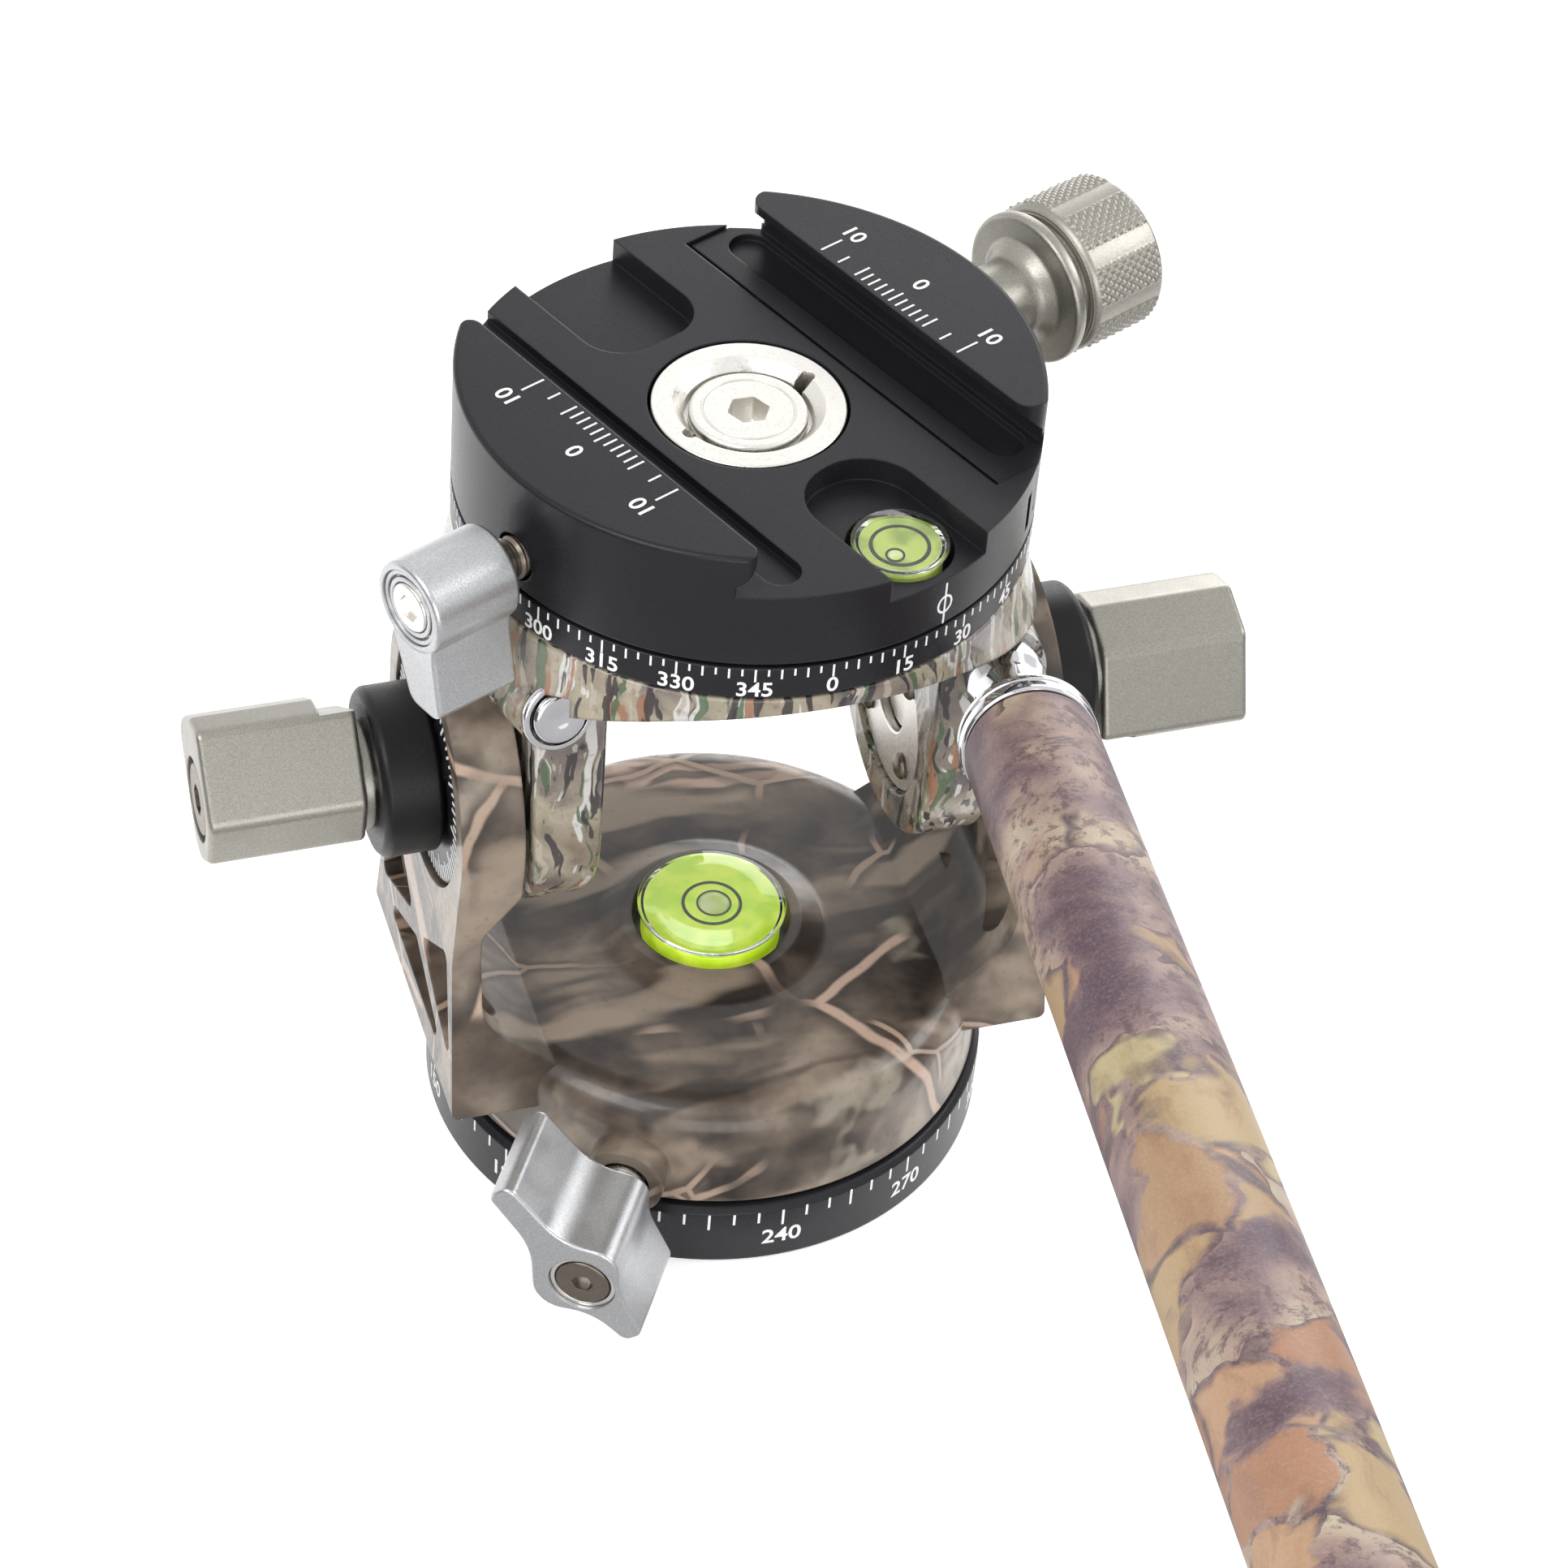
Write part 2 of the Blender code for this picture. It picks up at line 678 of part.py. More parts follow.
def yoke_parts():
    rim_r = YOKE_R - YOKE_TAPER
    vial_low = LEVEL_FLOOR + GAP
    yoke = turned("yoke", [
        (0, PEDESTAL_TOP),
        (PEDESTAL_R, PEDESTAL_TOP, EDGE),
        (PEDESTAL_FOOT_R, YOKE_TOP, POCKET_RIM),
        (rim_r, YOKE_TOP, YOKE_RIM_ROUND),
        (YOKE_R, yoke_low + EDGE),
        (YOKE_R - EDGE, yoke_low),
        (0, yoke_low),
    ], WORLD, "camo_film")
    for side, sign in HANDS:
        fuse(yoke, yoke_arm(side, sign))
    fuse(yoke, rod("lock_boss", LOCK_BOSS_R, SPINDLE_R + THRUST_H, LOCK_BOSS_OUT, LOCK_FRAME,
                   sides=MID_SIDES))
    cut(yoke, turned("spindle_bore", [
        (0, LEVEL_FLOOR - EDGE),
        (AXLE_R + GAP, LEVEL_FLOOR - EDGE),
        (AXLE_R + GAP, spindle_top + GAP),
        (SPINDLE_R + GAP, spindle_top + GAP),
        (SPINDLE_R + GAP, yoke_low - OVERRUN),
        (0, yoke_low - OVERRUN),
    ], WORLD, sides=MID_SIDES))
    cut(yoke, rod("level_pocket", LEVEL_R + GAP, LEVEL_FLOOR, LEVEL_TOP, WORLD, sides=SIDES))
    cut(yoke, rod("lock_bore", LOCK_BORE_R, SPINDLE_R - OVERRUN / 2, LOCK_BOSS_OUT + OVERRUN, LOCK_FRAME,
                  sides=SMALL_SIDES))
    for side, sign in HANDS:
        frame = TILT_FRAMES[side]
        cut(yoke, *arm_pockets(side))
        cut(yoke, rod("pivot_bore_" + side, TILT_STUD_R + GAP + BUSH_WALL + GAP, ARM_INNER - OVERRUN,
                      ARM_OUTER_FOOT + OVERRUN, frame))
        cut(yoke, rod("ring_seat_" + side, ANGLE_RING_R + GAP, ARM_RING_SEAT, ARM_OUTER_FOOT + OVERRUN, frame))
    turned("pan_axle_washer", [
        (AXLE_WASHER_R, washer_low + AXLE_WASHER_H),
        (AXLE_WASHER_R, washer_low),
        (AXLE_R + GAP, washer_low),
        (AXLE_R + GAP, washer_low + AXLE_WASHER_H),
    ], WORLD, "steel", SMALL_SIDES, ring=True)
    flipped = axis_frame("axle_screw_axis", (0, 0, 0), (0, 0, -1), (1, 0, 0))
    socket_screw("pan_axle_screw", flipped, "steel", AXLE_HEAD_R, -head_top, AXLE_HEAD_H, AXLE_R,
                 AXLE_TIP_H - head_top, LOCK_SOCKET_R)
    turned("yoke_level", [
        (0, LEVEL_TOP),
        (LEVEL_CHAMBER_R, LEVEL_TOP - LEVEL_DOME / 2, EDGE),
        (LEVEL_R, LEVEL_TOP - LEVEL_DOME, EDGE),
        (LEVEL_R, vial_low),
        (0, vial_low),
    ], WORLD, "level_fluid", MID_SIDES)
    pad_in = SPINDLE_R + GAP
    rod("base_lock_pad", LOCK_PAD_R, pad_in, pad_in + LOCK_PAD_LENGTH, LOCK_FRAME, "brass", SMALL_SIDES)
    for side, sign in HANDS:
        tilt_rings(side)


def tilt_rings(side):
    """What sits round the tilt stud in one arm, from the arm's inner face outwards."""
    frame = TILT_FRAMES[side]
    bore = TILT_STUD_R + GAP
    turned("pivot_bush_" + side, [
        (bore + BUSH_WALL, ARM_RING_SEAT),
        (bore + BUSH_WALL, ARM_INNER),
        (bore, ARM_INNER),
        (bore, ARM_RING_SEAT),
    ], frame, "brass", SMALL_SIDES, ring=True)
    ring_low = ARM_RING_SEAT + GAP
    turned("angle_ring_" + side, [
        (ANGLE_RING_R, ring_low + ANGLE_RING_H),
        (ANGLE_RING_R, ring_low),
        (bore, ring_low),
        (bore, ring_low + ANGLE_RING_H),
    ], frame, "black_anodised", MID_SIDES, ring=True)
    collar_low = ring_low + ANGLE_RING_H + GAP
    turned("tilt_collar_" + side, [
        (COLLAR_R, collar_low + COLLAR_H, COLLAR_ROUND),
        (COLLAR_R, collar_low, EDGE),
        (bore, collar_low),
        (bore, collar_low + COLLAR_H),
    ], frame, "black_collar", MID_SIDES, ring=True)


def base_lock_parts():
    knob = slab("base_lock_knob", rounded(LOCK_KNOB_OUTLINE), LOCK_KNOB_IN, LOCK_KNOB_OUT, LOCK_FRAME,
                "silver_grey")
    recess_floor = LOCK_KNOB_OUT - LOCK_RECESS
    stud_end = recess_floor - LOCK_CAP_R
    cut(knob, rod("base_lock_recess", LOCK_RECESS_R, recess_floor, LOCK_KNOB_OUT + OVERRUN, LOCK_FRAME,
                  sides=SMALL_SIDES))
    cut(knob, rod("base_lock_stud_hole", LOCK_STUD_R + GAP, LOCK_KNOB_IN - OVERRUN, stud_end + GAP,
                  LOCK_FRAME, sides=SMALL_SIDES))
    stud_in = SPINDLE_R + 2 * GAP + LOCK_PAD_LENGTH
    rod("base_lock_stud", LOCK_STUD_R, stud_in, stud_end, LOCK_FRAME, "steel", SMALL_SIDES)
    head = recess_floor + GAP
    socket_screw("base_lock_screw", LOCK_FRAME, "steel", LOCK_CAP_R, head, LOCK_CAP_H, AXLE_R / 2,
                 LOCK_CAP_R / 2, LOCK_SOCKET_R)
    cut(knob, rod("base_lock_screw_hole", AXLE_R / 2 + GAP, head - LOCK_CAP_R / 2 - GAP, head + OVERRUN,
                  LOCK_FRAME, sides=TINY_SIDES))


def tilt_knob_parts(side):
    """The oblong knob of one tilt lock, its stud and its cap screw, on the tilt axis."""
    place = TILT_FRAMES[side]
    frame = bpy.data.objects.new("tilt_knob_axis_" + side, None)
    frame.parent = place
    frame.rotation_euler = (0, 0, TILT_TURN[side])
    TOOLS.objects.link(frame)
    knob = slab("tilt_knob_" + side, rounded(TILT_KNOB_SECTION), TILT_KNOB_SHOULDER, TILT_KNOB_OUT, frame,
                "warm_grey")
    bevel(knob, TILT_KNOB_BEVEL)
    reach = TILT_KNOB_NOTCH_AT - OVERRUN
    notch = [(reach, reach), (TILT_KNOB_NOTCH_AT, reach), (TILT_KNOB_NOTCH_AT, -reach), (reach, -reach)]
    cut(knob, slab("tilt_knob_notch_" + side, notch, TILT_KNOB_SHOULDER - OVERRUN,
                   TILT_KNOB_SHOULDER + TILT_KNOB_NOTCH, frame))
    fuse(knob, rod("tilt_knob_hub_" + side, TILT_KNOB_HUB_R, TILT_KNOB_IN,
                   TILT_KNOB_SHOULDER + TILT_KNOB_BEVEL, frame))
    floor = TILT_KNOB_OUT - TILT_RECESS
    head = floor + GAP
    shank_end = head - TILT_CAP_SHANK
    stud_end = shank_end - 2 * GAP
    cut(knob, rod("tilt_recess_" + side, TILT_RECESS_R, floor, TILT_KNOB_OUT + OVERRUN, frame))
    cut(knob, rod("tilt_screw_hole_" + side, TILT_CAP_SHANK_R + GAP, shank_end - GAP, floor + OVERRUN, frame,
                  sides=TINY_SIDES))
    cut(knob, rod("tilt_stud_hole_" + side, TILT_STUD_R + GAP, TILT_KNOB_IN - OVERRUN, stud_end + GAP / 2,
                  frame, sides=SMALL_SIDES))
    rod("tilt_stud_" + side, TILT_STUD_R, TILT_STUD_IN, stud_end - GAP, frame, "steel", SMALL_SIDES)
    socket_screw("tilt_screw_" + side, frame, "steel", TILT_CAP_R, head, TILT_CAP_H, TILT_CAP_SHANK_R,
                 TILT_CAP_SHANK - GAP, TILT_SOCKET_R)


def handle_frame(name, sign):
    heading = (sign * math.sin(HANDLE_YAW) * math.cos(HANDLE_PITCH),
               -math.cos(HANDLE_YAW) * math.cos(HANDLE_PITCH), math.sin(HANDLE_PITCH))
    rise = SPARE_RISE if sign < 0 else 0
    return axis_frame(name, (sign * HANDLE_X, 0, HANDLE_AXIS_H + rise), heading, (1, 0, 0))


def cradle_cheek(side):
    """One hanging cheek, round below the tilt axis and straight above it."""
    frame = TILT_FRAMES[side]
    top = CRADLE_RING_LOW - GAP - TILT_H - CLAMP_THRUST_H
    outline = arc(0, 0, CHEEK_R, -HALF_TURN, HALF_TURN, 4 * ARC_STEPS) + [(CHEEK_R, top), (-CHEEK_R, top)]
    return bevel(slab("cheek_" + side, outline, CHEEK_INNER, CHEEK_OUTER, frame), CHEEK_BEVEL)


def cradle_parts():
    deck = CRADLE_RING_TOP - GAP
    shelf = CRADLE_RING_LOW - GAP
    washer_floor = deck - CLAMP_THRUST_RECESS
    cradle = turned("cradle", [
        (0, CLAMP_SPINDLE_TOP),
        (CLAMP_SPINDLE_R, CLAMP_SPINDLE_TOP, EDGE),
        (CLAMP_SPINDLE_R, deck),
        (CLAMP_THRUST_IN - GAP, deck),
        (CLAMP_THRUST_IN - GAP, washer_floor),
        (CLAMP_THRUST_OUT + GAP, washer_floor),
        (CLAMP_THRUST_OUT + GAP, deck),
        (CRADLE_RING_INNER - GAP, deck),
        (CRADLE_RING_INNER - GAP, shelf),
        (CRADLE_R, shelf, EDGE),
        (CRADLE_R, CRADLE_FLARE_TOP_H, COLLAR_H),
        (CRADLE_R + CRADLE_FLARE, CRADLE_LOW_H),
        (0, CRADLE_LOW_H),
    ], WORLD, "camo_film")
    arch_r = (CRADLE_R ** 2 + ARCH_RISE ** 2) / (2 * ARCH_RISE)
    across = axis_frame("arch_axis", (0, 0, ARCH_TOP_H - arch_r), (0, -1, 0), (1, 0, 0))
    cut(cradle, rod("arch", arch_r, -CRADLE_R - CRADLE_FLARE - OVERRUN, CRADLE_R + CRADLE_FLARE + OVERRUN,
                    across, sides=2 * SIDES))
    for side, sign in HANDS:
        fuse(cradle, cradle_cheek(side))
        boss_r = SPARE_R if sign < 0 else SOCKET_R
        fuse(cradle, rod("handle_boss_" + side, boss_r, SOCKET_IN - OVERRUN, SOCKET_OUT, HANDLE_FRAMES[side],
                         sides=SMALL_SIDES))
    for side, sign in HANDS:
        frame = TILT_FRAMES[side]
        cut(cradle, rod("arm_clearance_" + side, ARM_TOP_R + ARM_CLEARANCE, CHEEK_OUTER + GAP,
                        ARM_OUTER_FOOT + OVERRUN, frame, sides=SIDES))
        cut(cradle, rod("plate_recess_" + side, PLATE_R + GAP, CHEEK_INNER - OVERRUN,
                        CHEEK_INNER + PLATE_RECESS, frame))
        cut(cradle, rod("friction_recess_" + side, FRICTION_R + GAP, FRICTION_SEAT,
                        CHEEK_OUTER + OVERRUN, frame))
        cut(cradle, rod("stud_bore_" + side, TILT_STUD_R + GAP, CHEEK_INNER - OVERRUN,
                        CHEEK_OUTER + OVERRUN, frame, sides=SMALL_SIDES))
        cut(cradle, rod("socket_bore_" + side, SOCKET_BORE_R, SOCKET_IN, SOCKET_OUT + OVERRUN,
                        HANDLE_FRAMES[side], sides=SMALL_SIDES))
        for index, (x, y) in enumerate(plate_screw_places()):
            cut(cradle, rod("screw_hole_%s_%d" % (side, index), PLATE_SHANK_R + GAP, CHEEK_INNER,
                            PLATE_SCREW_SEAT + PLATE_SHANK + GAP, frame, sides=TINY_SIDES, place=(x, y)))
        plate_and_disc(side)
    cut(cradle, rod("plug_clearance", PLUG_HEAD_R + GAP, SOCKET_OUT, SOCKET_OUT + OVERRUN,
                    HANDLE_FRAMES["left"], sides=SMALL_SIDES))
    cut(cradle, rod("axle_bore", AXLE_SHANK_R + GAP, CLAMP_AXLE_TIP_H - GAP,
                    CLAMP_SPINDLE_TOP + OVERRUN, WORLD, sides=SMALL_SIDES))
    turned("cradle_scale_ring", [
        (CRADLE_R, CRADLE_RING_TOP, EDGE / 2),
        (CRADLE_R, CRADLE_RING_LOW),
        (CRADLE_RING_INNER, CRADLE_RING_LOW),
        (CRADLE_RING_INNER, CRADLE_RING_TOP),
    ], WORLD, "black_anodised", ring=True)
    washer_low = washer_floor + GAP
    turned("clamp_thrust_washer", [
        (CLAMP_THRUST_OUT, washer_low + CLAMP_THRUST_H),
        (CLAMP_THRUST_OUT, washer_low),
        (CLAMP_THRUST_IN, washer_low),
        (CLAMP_THRUST_IN, washer_low + CLAMP_THRUST_H),
    ], WORLD, "polymer", MID_SIDES, ring=True)
    socket_screw("clamp_axle_screw", WORLD, "steel", AXLE_SCREW_R, AXLE_CAP_LOW, AXLE_CAP_H, AXLE_SHANK_R,
                 AXLE_SHANK, AXLE_SOCKET_R)
    turned("handle_socket_plug", [
        (0, SOCKET_OUT + GAP + PLUG_HEAD_H),
        (PLUG_HEAD_R, SOCKET_OUT + GAP + PLUG_HEAD_H, EDGE),
        (PLUG_HEAD_R, SOCKET_OUT + GAP),
        (NECK_STUD_R, SOCKET_OUT + GAP),
        (NECK_STUD_R, SOCKET_IN + GAP),
        (0, SOCKET_IN + GAP),
    ], HANDLE_FRAMES["left"], "chrome", SMALL_SIDES)


def plate_screw_places():
    turns = [FULL_TURN * (index + 0.5) / PLATE_SCREWS for index in range(PLATE_SCREWS)]
    return [(PLATE_SCREW_CIRCLE * math.cos(turn), PLATE_SCREW_CIRCLE * math.sin(turn)) for turn in turns]


def plate_and_disc(side):
    """The clamp plate with its screws on a cheek's inner face, and the friction disc on its outer face."""
    frame = TILT_FRAMES[side]
    plate_out = CHEEK_INNER + PLATE_RECESS - GAP
    plate = turned("clamp_plate_" + side, [
        (PLATE_R, plate_out),
        (PLATE_R, plate_out - PLATE_H),
        (TILT_STUD_R + GAP, plate_out - PLATE_H),
        (TILT_STUD_R + GAP, plate_out),
    ], frame, "steel", MID_SIDES, ring=True)
    for index, (x, y) in enumerate(plate_screw_places()):
        tag = "%s_%d" % (side, index + 1)
        cut(plate, rod("plate_hole_" + tag, PLATE_SHANK_R + GAP, plate_out - PLATE_H - OVERRUN,
                       plate_out + OVERRUN, frame, sides=TINY_SIDES, place=(x, y)))
        screw = rod("plate_screw_" + tag, PLATE_SHANK_R, PLATE_SCREW_SEAT - PLATE_SCREW_HEAD / 2,
                    PLATE_SCREW_SEAT + PLATE_SHANK, frame, "steel", TINY_SIDES, place=(x, y))
        fuse(screw, rod("plate_screw_head_" + tag, PLATE_SCREW_R, PLATE_SCREW_SEAT - PLATE_SCREW_HEAD,
                        PLATE_SCREW_SEAT, frame, sides=TINY_SIDES, place=(x, y)))
    turned("friction_disc_" + side, [
        (FRICTION_R, FRICTION_SEAT + GAP + FRICTION_H),
        (FRICTION_R, FRICTION_SEAT + GAP),
        (TILT_STUD_R + GAP, FRICTION_SEAT + GAP),
        (TILT_STUD_R + GAP, FRICTION_SEAT + GAP + FRICTION_H),
    ], frame, "polymer", MID_SIDES, ring=True)


def handle_parts():
    frame = HANDLE_FRAMES["right"]
    neck_low = SOCKET_OUT + GAP
    neck_top = neck_low + NECK_LENGTH
    spigot = FERRULE_H
    turned("handle_neck", [
        (0, neck_top + spigot),
        (NECK_STUD_R, neck_top + spigot),
        (NECK_STUD_R, neck_top),
        (NECK_R, neck_top, EDGE),
        (NECK_WAIST_R, neck_low + NECK_WAIST, NECK_R),
        (NECK_R, neck_low + NECK_SHOULDER, EDGE),
        (NECK_R, neck_low, EDGE),
        (NECK_STUD_R, neck_low),
        (NECK_STUD_R, SOCKET_IN + GAP),
        (0, SOCKET_IN + GAP),
    ], frame, "chrome", MID_SIDES)
    ferrule_low = neck_top + GAP
    ferrule_top = ferrule_low + FERRULE_H
    inner = TUBE_R - TUBE_WALL - GAP
    turned("handle_ferrule", [
        (0, ferrule_top + FERRULE_PLUG),
        (inner, ferrule_top + FERRULE_PLUG, EDGE),
        (inner, ferrule_top),
        (FERRULE_R, ferrule_top, EDGE),
        (FERRULE_R, ferrule_low, EDGE),
        (NECK_STUD_R + GAP, ferrule_low),
        (NECK_STUD_R + GAP, ferrule_low + spigot),
        (0, ferrule_low + spigot),
    ], frame, "chrome", MID_SIDES)
    tube_low = ferrule_top + GAP
    tube_top = tube_low + TUBE_LENGTH
    turned("handle_tube", [
        (TUBE_R, tube_top),
        (TUBE_R, tube_low),
        (TUBE_R - TUBE_WALL, tube_low),
        (TUBE_R - TUBE_WALL, tube_top),
    ], frame, "handle_film", MID_SIDES, ring=True)
    cap_low = tube_top + GAP
    turned("handle_end_cap", [
        (0, cap_low + CAP_H),
        (TUBE_R, cap_low + CAP_H, CAP_ROUND),
        (TUBE_R, cap_low),
        (inner, cap_low),
        (inner, cap_low - CAP_PLUG),
        (0, cap_low - CAP_PLUG),
    ], frame, "black_collar", MID_SIDES)


def jaw_tips(name, side, top):
    """Cutters that round the two pointed ends of a jaw, where its lip meets the rim."""
    lip = LIP_HALF
    cx = lip + TIP_ROUND
    cy = math.sqrt((CLAMP_R - TIP_ROUND) ** 2 - cx ** 2)
    start = HALF_TURN
    sweep = math.atan2(cy, cx) - start
    far = (CLAMP_R + OVERRUN) / (CLAMP_R - TIP_ROUND)
    outline = [(lip - OVERRUN, cy)] + arc(cx, cy, TIP_ROUND, start, sweep)
    outline += [(cx * far, cy * far), (lip - OVERRUN, cy * far)]
    tools = []
    for end in (1, -1):
        points = [(side * x, end * y) for x, y in outline]
        tools.append(slab("%s_tip_%d" % (name, end), points, CLAMP_FLOOR + EDGE, top, CLAMP_FRAME))
    return tools


def recess_outline(left, right, start, corner, sign):
    """An end recess of the clamp: open at the rim and round at its inner end."""
    far = sign * (CLAMP_R + OVERRUN)
    near = sign * start
    return rounded([(left, far), (left, near, corner), (right, near, corner), (right, far)])


def clamp_parts():
    clamp = turned("clamp_body", [
        (0, CLAMP_TOP),
        (CLAMP_R, CLAMP_TOP, EDGE),
        (CLAMP_R, CLAMP_LOW, EDGE / 2),
        (0, CLAMP_LOW),
    ], CLAMP_FRAME, "black_anodised")
    lip_low = CLAMP_TOP - LIP_H
    foot = LIP_HALF + FLANK_RISE
    flank_low = lip_low - FLANK_RISE
    channel = [
        (-LIP_HALF, CLAMP_TOP + OVERRUN),
        (-LIP_HALF, lip_low),
        (-foot, flank_low),
        (-foot, CLAMP_FLOOR),
        (CLAMP_R + OVERRUN, CLAMP_FLOOR),
        (CLAMP_R + OVERRUN, CLAMP_TOP + OVERRUN),
    ]
    length = CLAMP_R + OVERRUN
    cut(clamp, slab("dovetail_channel", channel, -length, length, SECTION_FRAME))
    cut(clamp, *jaw_tips("fixed_jaw", -1, CLAMP_TOP + OVERRUN))
    slot_out = SLOT_IN + SLOT_WIDE
    slot_round = SLOT_WIDE / 2
    slot = rounded([(-SLOT_IN, length), (-slot_out, length), (-slot_out, -SLOT_END - slot_round, slot_round),
                    (-SLOT_IN, -SLOT_END - slot_round, slot_round)])
    cut(clamp, slab("relief_slot", slot, CLAMP_FLOOR - SLOT_DEEP, CLAMP_FLOOR + SLOT_DEEP, CLAMP_FRAME))
    trench = rounded([
        (TRENCH_IN, -TRENCH_HALF, TRENCH_ROUND),
        (length, -TRENCH_HALF),
        (length, TRENCH_HALF),
        (TRENCH_IN, TRENCH_HALF, TRENCH_ROUND),
    ])
    cut(clamp, slab("jaw_pocket", trench, TRENCH_FLOOR, CLAMP_TOP + OVERRUN, CLAMP_FRAME))
    back = recess_outline(RECESS_BACK_LEFT, RECESS_BACK_RIGHT, RECESS_BACK_START, RECESS_BACK_ROUND, 1)
    front = recess_outline(RECESS_FRONT_LEFT, RECESS_FRONT_RIGHT, RECESS_FRONT_START, RECESS_ROUND, -1)
    cut(clamp, slab("back_recess", back, RECESS_FLOOR, CLAMP_TOP, CLAMP_FRAME))
    cut(clamp, slab("front_recess", front, RECESS_FLOOR, CLAMP_TOP, CLAMP_FRAME))
    level_place = (0, -CLAMP_LEVEL_AT)
    cut(clamp, rod("clamp_level_pocket", CLAMP_LEVEL_R + GAP, CLAMP_LEVEL_LOW - GAP, CLAMP_TOP, CLAMP_FRAME,
                   place=level_place))
    cut(clamp, rod("centre_bore", CENTRE_RING_R + GAP, CLAMP_SPINDLE_TOP, CLAMP_TOP, CLAMP_FRAME, sides=SIDES))
    cut(clamp, rod("clamp_spindle_bore", CLAMP_SPINDLE_R + GAP, CLAMP_LOW - OVERRUN,
                   CLAMP_SPINDLE_TOP + OVERRUN / 2, CLAMP_FRAME))
    cut(clamp, rod("pan_lock_bore", PAN_STUD_R + GAP, CLAMP_SPINDLE_R - OVERRUN / 2, CLAMP_R + OVERRUN,
                   PAN_LOCK_FRAME, sides=SMALL_SIDES))
    cut(clamp, rod("jaw_screw_thread", JAW_SCREW_R + GAP, JAW_THREAD_IN, TRENCH_IN + OVERRUN, KNOB_FRAME,
                   sides=SMALL_SIDES))
    for name, sign in (("front", 1), ("back", -1)):
        place = (sign * GUIDE_AT, 0)
        cut(clamp, rod("guide_hole_" + name, GUIDE_R + GAP, GUIDE_IN - GAP, TRENCH_IN + OVERRUN,
                       KNOB_FRAME, sides=TINY_SIDES, place=place))
        rod("guide_pin_" + name, GUIDE_R, GUIDE_IN, GUIDE_OUT, KNOB_FRAME, "steel", TINY_SIDES, place=place)
    ring = turned("clamp_centre_ring", [
        (CENTRE_RING_R, CLAMP_FLOOR, EDGE / 2),
        (CENTRE_RING_R, CLAMP_SPINDLE_TOP + GAP),
        (CENTRE_BORE_R, CLAMP_SPINDLE_TOP + GAP),
        (CENTRE_BORE_R, CENTRE_SEAT_H),
        (CENTRE_SEAT_R, CENTRE_SEAT_H),
        (CENTRE_SEAT_R, CLAMP_FLOOR - (CENTRE_CONE_R - CENTRE_SEAT_R)),
        (CENTRE_CONE_R, CLAMP_FLOOR),
    ], CLAMP_FRAME, "steel", ring=True)
    for name, sign in (("right", 1), ("left", -1)):
        cut(ring, rod("spanner_hole_" + name, SPANNER_R, CENTRE_SEAT_H + EDGE, CLAMP_TOP, CLAMP_FRAME,
                      sides=TINY_SIDES, place=(sign * SPANNER_AT, 0)))
    turned("clamp_level", [
        (0, CLAMP_LEVEL_TOP),
        (CLAMP_LEVEL_R, CLAMP_LEVEL_TOP, EDGE),
        (CLAMP_LEVEL_R, CLAMP_LEVEL_LOW),
        (0, CLAMP_LEVEL_LOW),
    ], LEVEL_FRAME, "level_fluid", MID_SIDES)
    pad_in = CLAMP_SPINDLE_R + GAP
    rod("clamp_lock_pad", PAN_PAD_R, pad_in, pad_in + PAN_PAD_LENGTH, PAN_LOCK_FRAME, "brass", SMALL_SIDES)


def moving_jaw():
    lip_low = CLAMP_TOP - LIP_H
    foot = LIP_HALF + FLANK_RISE
    low = TRENCH_FLOOR + GAP
    section = [
        (LIP_HALF, CLAMP_TOP),
        (LIP_HALF, lip_low),
        (foot, lip_low - FLANK_RISE),
        (foot, CLAMP_FLOOR),
        (JAW_FOOT_IN, CLAMP_FLOOR),
        (JAW_FOOT_IN, low),
        (CLAMP_R + OVERRUN, low),
        (CLAMP_R + OVERRUN, CLAMP_TOP),
    ]
    tongue = [(TONGUE_IN, TONGUE_TOP), (TONGUE_IN, low), (foot, low), (foot, TONGUE_TOP)]
    jaw = slab("moving_jaw", section, -JAW_HALF, JAW_HALF, SECTION_FRAME, "black_anodised")
    overlap(jaw, rod("jaw_disc", CLAMP_R, TRENCH_FLOOR - OVERRUN, CLAMP_TOP + OVERRUN, CLAMP_FRAME,
                     sides=SIDES))
    cut(jaw, *jaw_tips("moving_jaw", 1, CLAMP_TOP + OVERRUN))
    fuse(jaw, slab("jaw_tongue", tongue, -TONGUE_HALF, TONGUE_HALF, SECTION_FRAME))
    cut(jaw, rod("jaw_screw_hole", JAW_SCREW_R + GAP, TONGUE_IN - OVERRUN, CLAMP_R + OVERRUN, KNOB_FRAME,
                 sides=SMALL_SIDES))
    for name, sign in (("front", 1), ("back", -1)):
        cut(jaw, rod("jaw_guide_" + name, GUIDE_R + GAP, TONGUE_IN - OVERRUN, GUIDE_BORE_OUT,
                     KNOB_FRAME, sides=TINY_SIDES, place=(sign * GUIDE_AT, 0)))


